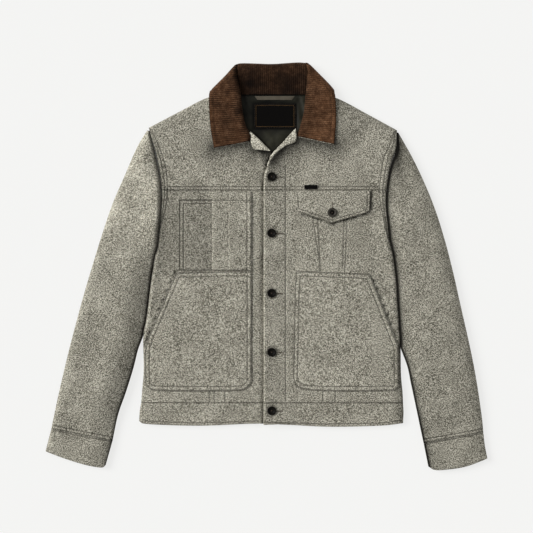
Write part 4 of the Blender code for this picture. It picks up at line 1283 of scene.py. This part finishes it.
def build_chest_patch():
    """The pleated patch on the right front, whose open top left end has a welt."""
    left, right, low_y, high_y, opening = -172, -29, -7.4, 146, 131
    columns = np.unique(np.round(np.concatenate([
        np.linspace(left, right, 36), *[np.array([-1.5, -0.6, 0.0, 0.6, 1.5]) + at for at in PLEATS],
        left + np.array(CLOSE[:3]), right - np.array(CLOSE[:3])]), 3))
    upward = marks(150, 4, CLOSE[:3])
    plan = np.zeros((len(upward), len(columns), 2))
    for i, x in enumerate(columns):
        plan[:, i, 0] = x
        plan[:, i, 1] = between(low_y, opening if x < PLEATS[0] else high_y, upward)
    rows = [straight(*line) for line in (
        [(left + 2, low_y), (left + 2, opening - 2), (PLEATS[0] - 1, opening - 2)],
        [(left + 9, low_y), (left + 9, opening - 8), (PLEATS[0] - 1, opening - 8)],
        [(right - 2, low_y), (right - 2, high_y - 1)], [(right - 10, low_y), (right - 10, high_y - 1)],
        [(PLEATS[0] + 2, opening - 2), (right - 2, opening - 2)])]
    edge = straight((right, high_y), (right, low_y), (left, low_y), (left, opening), (PLEATS[0], opening))

    def form(points):
        x = points[:, 0]
        z = right_front_form(points) + 0.2
        for at in PLEATS:
            over = smooth_step(x, at - 1.0, at + 1.0) * (1 - smooth_step(x, at + 2.0, at + 26))
            z = z + 1.2 * over - 0.5 * bell(x - at + 2.0, 2.0)
        return z

    top = patch_top(form, edge, rows)

    def tone(points, heights):
        x = points[:, 0]
        base = patch_tone(edge, rows)(points, heights)
        # painted shade in each pleat's fold and a painted highlight just past it; painted shade over the
        # patch's left part
        for at in PLEATS:
            base = base - 0.40 * bell(x - at + 1.0, 1.3) + 0.14 * bell(x - at - 2.0, 1.8)
        return base - 0.10 * smooth_step(-x, 108, 112)

    cloth("chest_patch_right", plan, lifted(right_front_form, PATCH_LIFT), top, rows=rows, tone=tone)
    stitch("chest_patch_stitching", rows, top)


def flap_underside(points):
    return left_front_form(points) + PATCH_LIFT + 2.4 * smooth_step(147 - points[:, 1], 0, 50)


def build_flap():
    low = join(curve([(57, 112), (59.5, 108), (64, 106)]), straight((64, 106), (122, 86.4)),
               curve([(122, 86.4), (127, 85.2), (132, 86.2)]), straight((132, 86.2), (191, 103.8)),
               curve([(191, 103.8), (198, 107), (200.5, 113)]))
    high = straight(*FLAP_HIGH)
    plan = strip(low, high, marks(146, 4, CLOSE[:4]), marks(50, 4, CLOSE[:4]))
    edge = np.vstack([high[:1], low, high[1:]])
    row = walk(beside(walk(edge, np.linspace(0, 1, 160)), 5.5), np.linspace(0.03, 0.97, 120))
    row[:, 1] = np.minimum(row[:, 1], 144)
    top = patch_top(lifted(flap_underside, -PATCH_LIFT), edge, [row], 2.8, 2.6)
    # a deeper painted shadow along the flap's edge
    cloth("chest_flap_left", plan, flap_underside, top, rows=[row], tone=patch_tone(edge, [row], 0.65))
    stitch("flap_stitching", [row], top)

    plan = strip([(73, 151), (98, 151)], [(73, 159), (98, 159)], marks(25, 1.5), marks(8, 1))
    cloth("tab_label", plan, lifted(left_front_form, 0.4), lifted(left_front_form, 2.0), "label", gap=0)
    return top


# Buttons

BUTTON_SECTION = [(0.0, 1.3), (2.6, 1.35), (4.2, 1.6), (5.2, 2.2), (6.0, 2.9), (6.9, 3.3), (7.7, 3.1),
                  (8.3, 2.4), (8.5, 1.4), (8.0, 0.5), (6.6, 0.0), (0.0, 0.0)]
BUTTON_RADIUS = 8.5
HOLE_AT = 2.1
HOLE_RADIUS = 0.85
HOLE_HEIGHT = 1.38
MIDDLE_RADIUS = 4.3
MIDDLE_HEIGHT = 1.6
THREAD_HEIGHT = 1.75


def disc(bm, low_radius, high_radius, depth, segments, at):
    made = bmesh.ops.create_cone(bm, cap_ends=True, segments=segments, radius1=low_radius,
                                 radius2=high_radius, depth=depth)
    bmesh.ops.translate(bm, verts=made["verts"], vec=Vector(at))


def button(name, x, y, z, radius, finish="horn"):
    """A button turned from its section, with four sewn holes, or a dark middle inside a light rim, the rim's
    lighter horn being a painted highlight.
    """
    scale = radius / BUTTON_RADIUS
    bm = bmesh.new()
    verts = [bm.verts.new((r * scale, 0, h * scale)) for r, h in BUTTON_SECTION]
    edges = [bm.edges.new(pair) for pair in zip(verts, verts[1:])]
    bmesh.ops.spin(bm, geom=verts + edges, cent=(0, 0, 0), axis=(0, 0, 1), angle=2 * math.pi, steps=40,
                   use_merge=True)
    bmesh.ops.remove_doubles(bm, verts=bm.verts, dist=0.01)
    bmesh.ops.translate(bm, verts=bm.verts, vec=(x, y, z))
    finish_piece(name, bm, finish, name)
    bm = bmesh.new()
    if finish == "horn":
        for angle in math.pi * (np.arange(4) / 2 + 0.25):
            out = HOLE_AT * scale * Vector((math.cos(angle), math.sin(angle), 0))
            disc(bm, HOLE_RADIUS * scale, HOLE_RADIUS * scale * 0.9, 0.25, 12,
                 Vector((x, y, z + HOLE_HEIGHT * scale)) + out)
    else:
        disc(bm, MIDDLE_RADIUS * scale, 4.1 * scale, 0.3, 24, (x, y, z + MIDDLE_HEIGHT * scale))
    finish_piece(name + "_holes", bm, "label")
    corner = HOLE_AT * scale * 0.72
    pairs = [straight((x - corner, y - slope), (x + corner, y + slope)) for slope in (corner, -corner)]
    stitch(name + "_thread", pairs, level(z + THREAD_HEIGHT * scale), "dark_thread", 4.0, 3.9 * scale,
           0.38, 0.15)


def buttonhole(name, line, surface, half_width=1.1):
    """A worked buttonhole: close stitches across both lips of a slit."""
    rows = []
    for side in (-1, 1):
        lip = beside(walk(line, np.linspace(0, 1, 12)), side * half_width)
        out = lip[0] - line[0]
        for point in walk(lip, np.linspace(0, 1, int(length_of(line) / 0.95))):
            rows.append(np.array([point - out * 0.9, point + out * 0.25]))
    stitch(name, rows, surface, "hole_thread", 1.0, 1.4, 0.32, 0.3)


def build_buttons(flap_top):
    surface = front_top(left_front_form)
    for number, y in enumerate(BUTTON_YS, start=1):
        button(f"button_{number}", BUTTON_X, y, LAP_TOP + LAP_RISE + CLOTH_GAP, BUTTON_RADIUS)
        buttonhole(f"buttonhole_{number}", straight((BUTTON_X + 6, y - 0.5), (BUTTON_X + 22, y - 1)), surface)
    x, y = FLAP_BUTTON
    seat = float(flap_top(straight(FLAP_BUTTON))[0])
    # the flap button is the same horn painted lighter, as a highlight on its rim
    button("flap_button", x, y, seat + CLOTH_GAP, 9.3, "horn_highlight")
    buttonhole("flap_buttonhole", straight((x, y + 6), (x + 0.5, y + 21)), flap_top)


def declare_cloth():
    """Works out the flat cut of each piece of cloth, without its seam allowance, and keeps none of it."""
    for piece, area, size in MADE:
        width = max(float(max(size)), 0.0102)
        length = max(min(float(min(size)), area / width / 0.4), 0.0102)
        min(area, width * length)


set_stage()
build_body()
build_neck()
build_facings()
build_pockets()
build_chest_patch()
flap_surface = build_flap()
build_sleeve("right", RIGHT_ARMHOLE, RIGHT_SLEEVE_OUTER, RIGHT_SLEEVE_INNER, RIGHT_CUFF_OUTER,
             RIGHT_CUFF_INNER, RIGHT_CUFF_END)
build_sleeve("left", LEFT_ARMHOLE, LEFT_SLEEVE_OUTER, LEFT_SLEEVE_INNER, LEFT_CUFF_OUTER,
             LEFT_CUFF_INNER, LEFT_CUFF_END)
build_collar()
build_buttons(flap_surface)
declare_cloth()
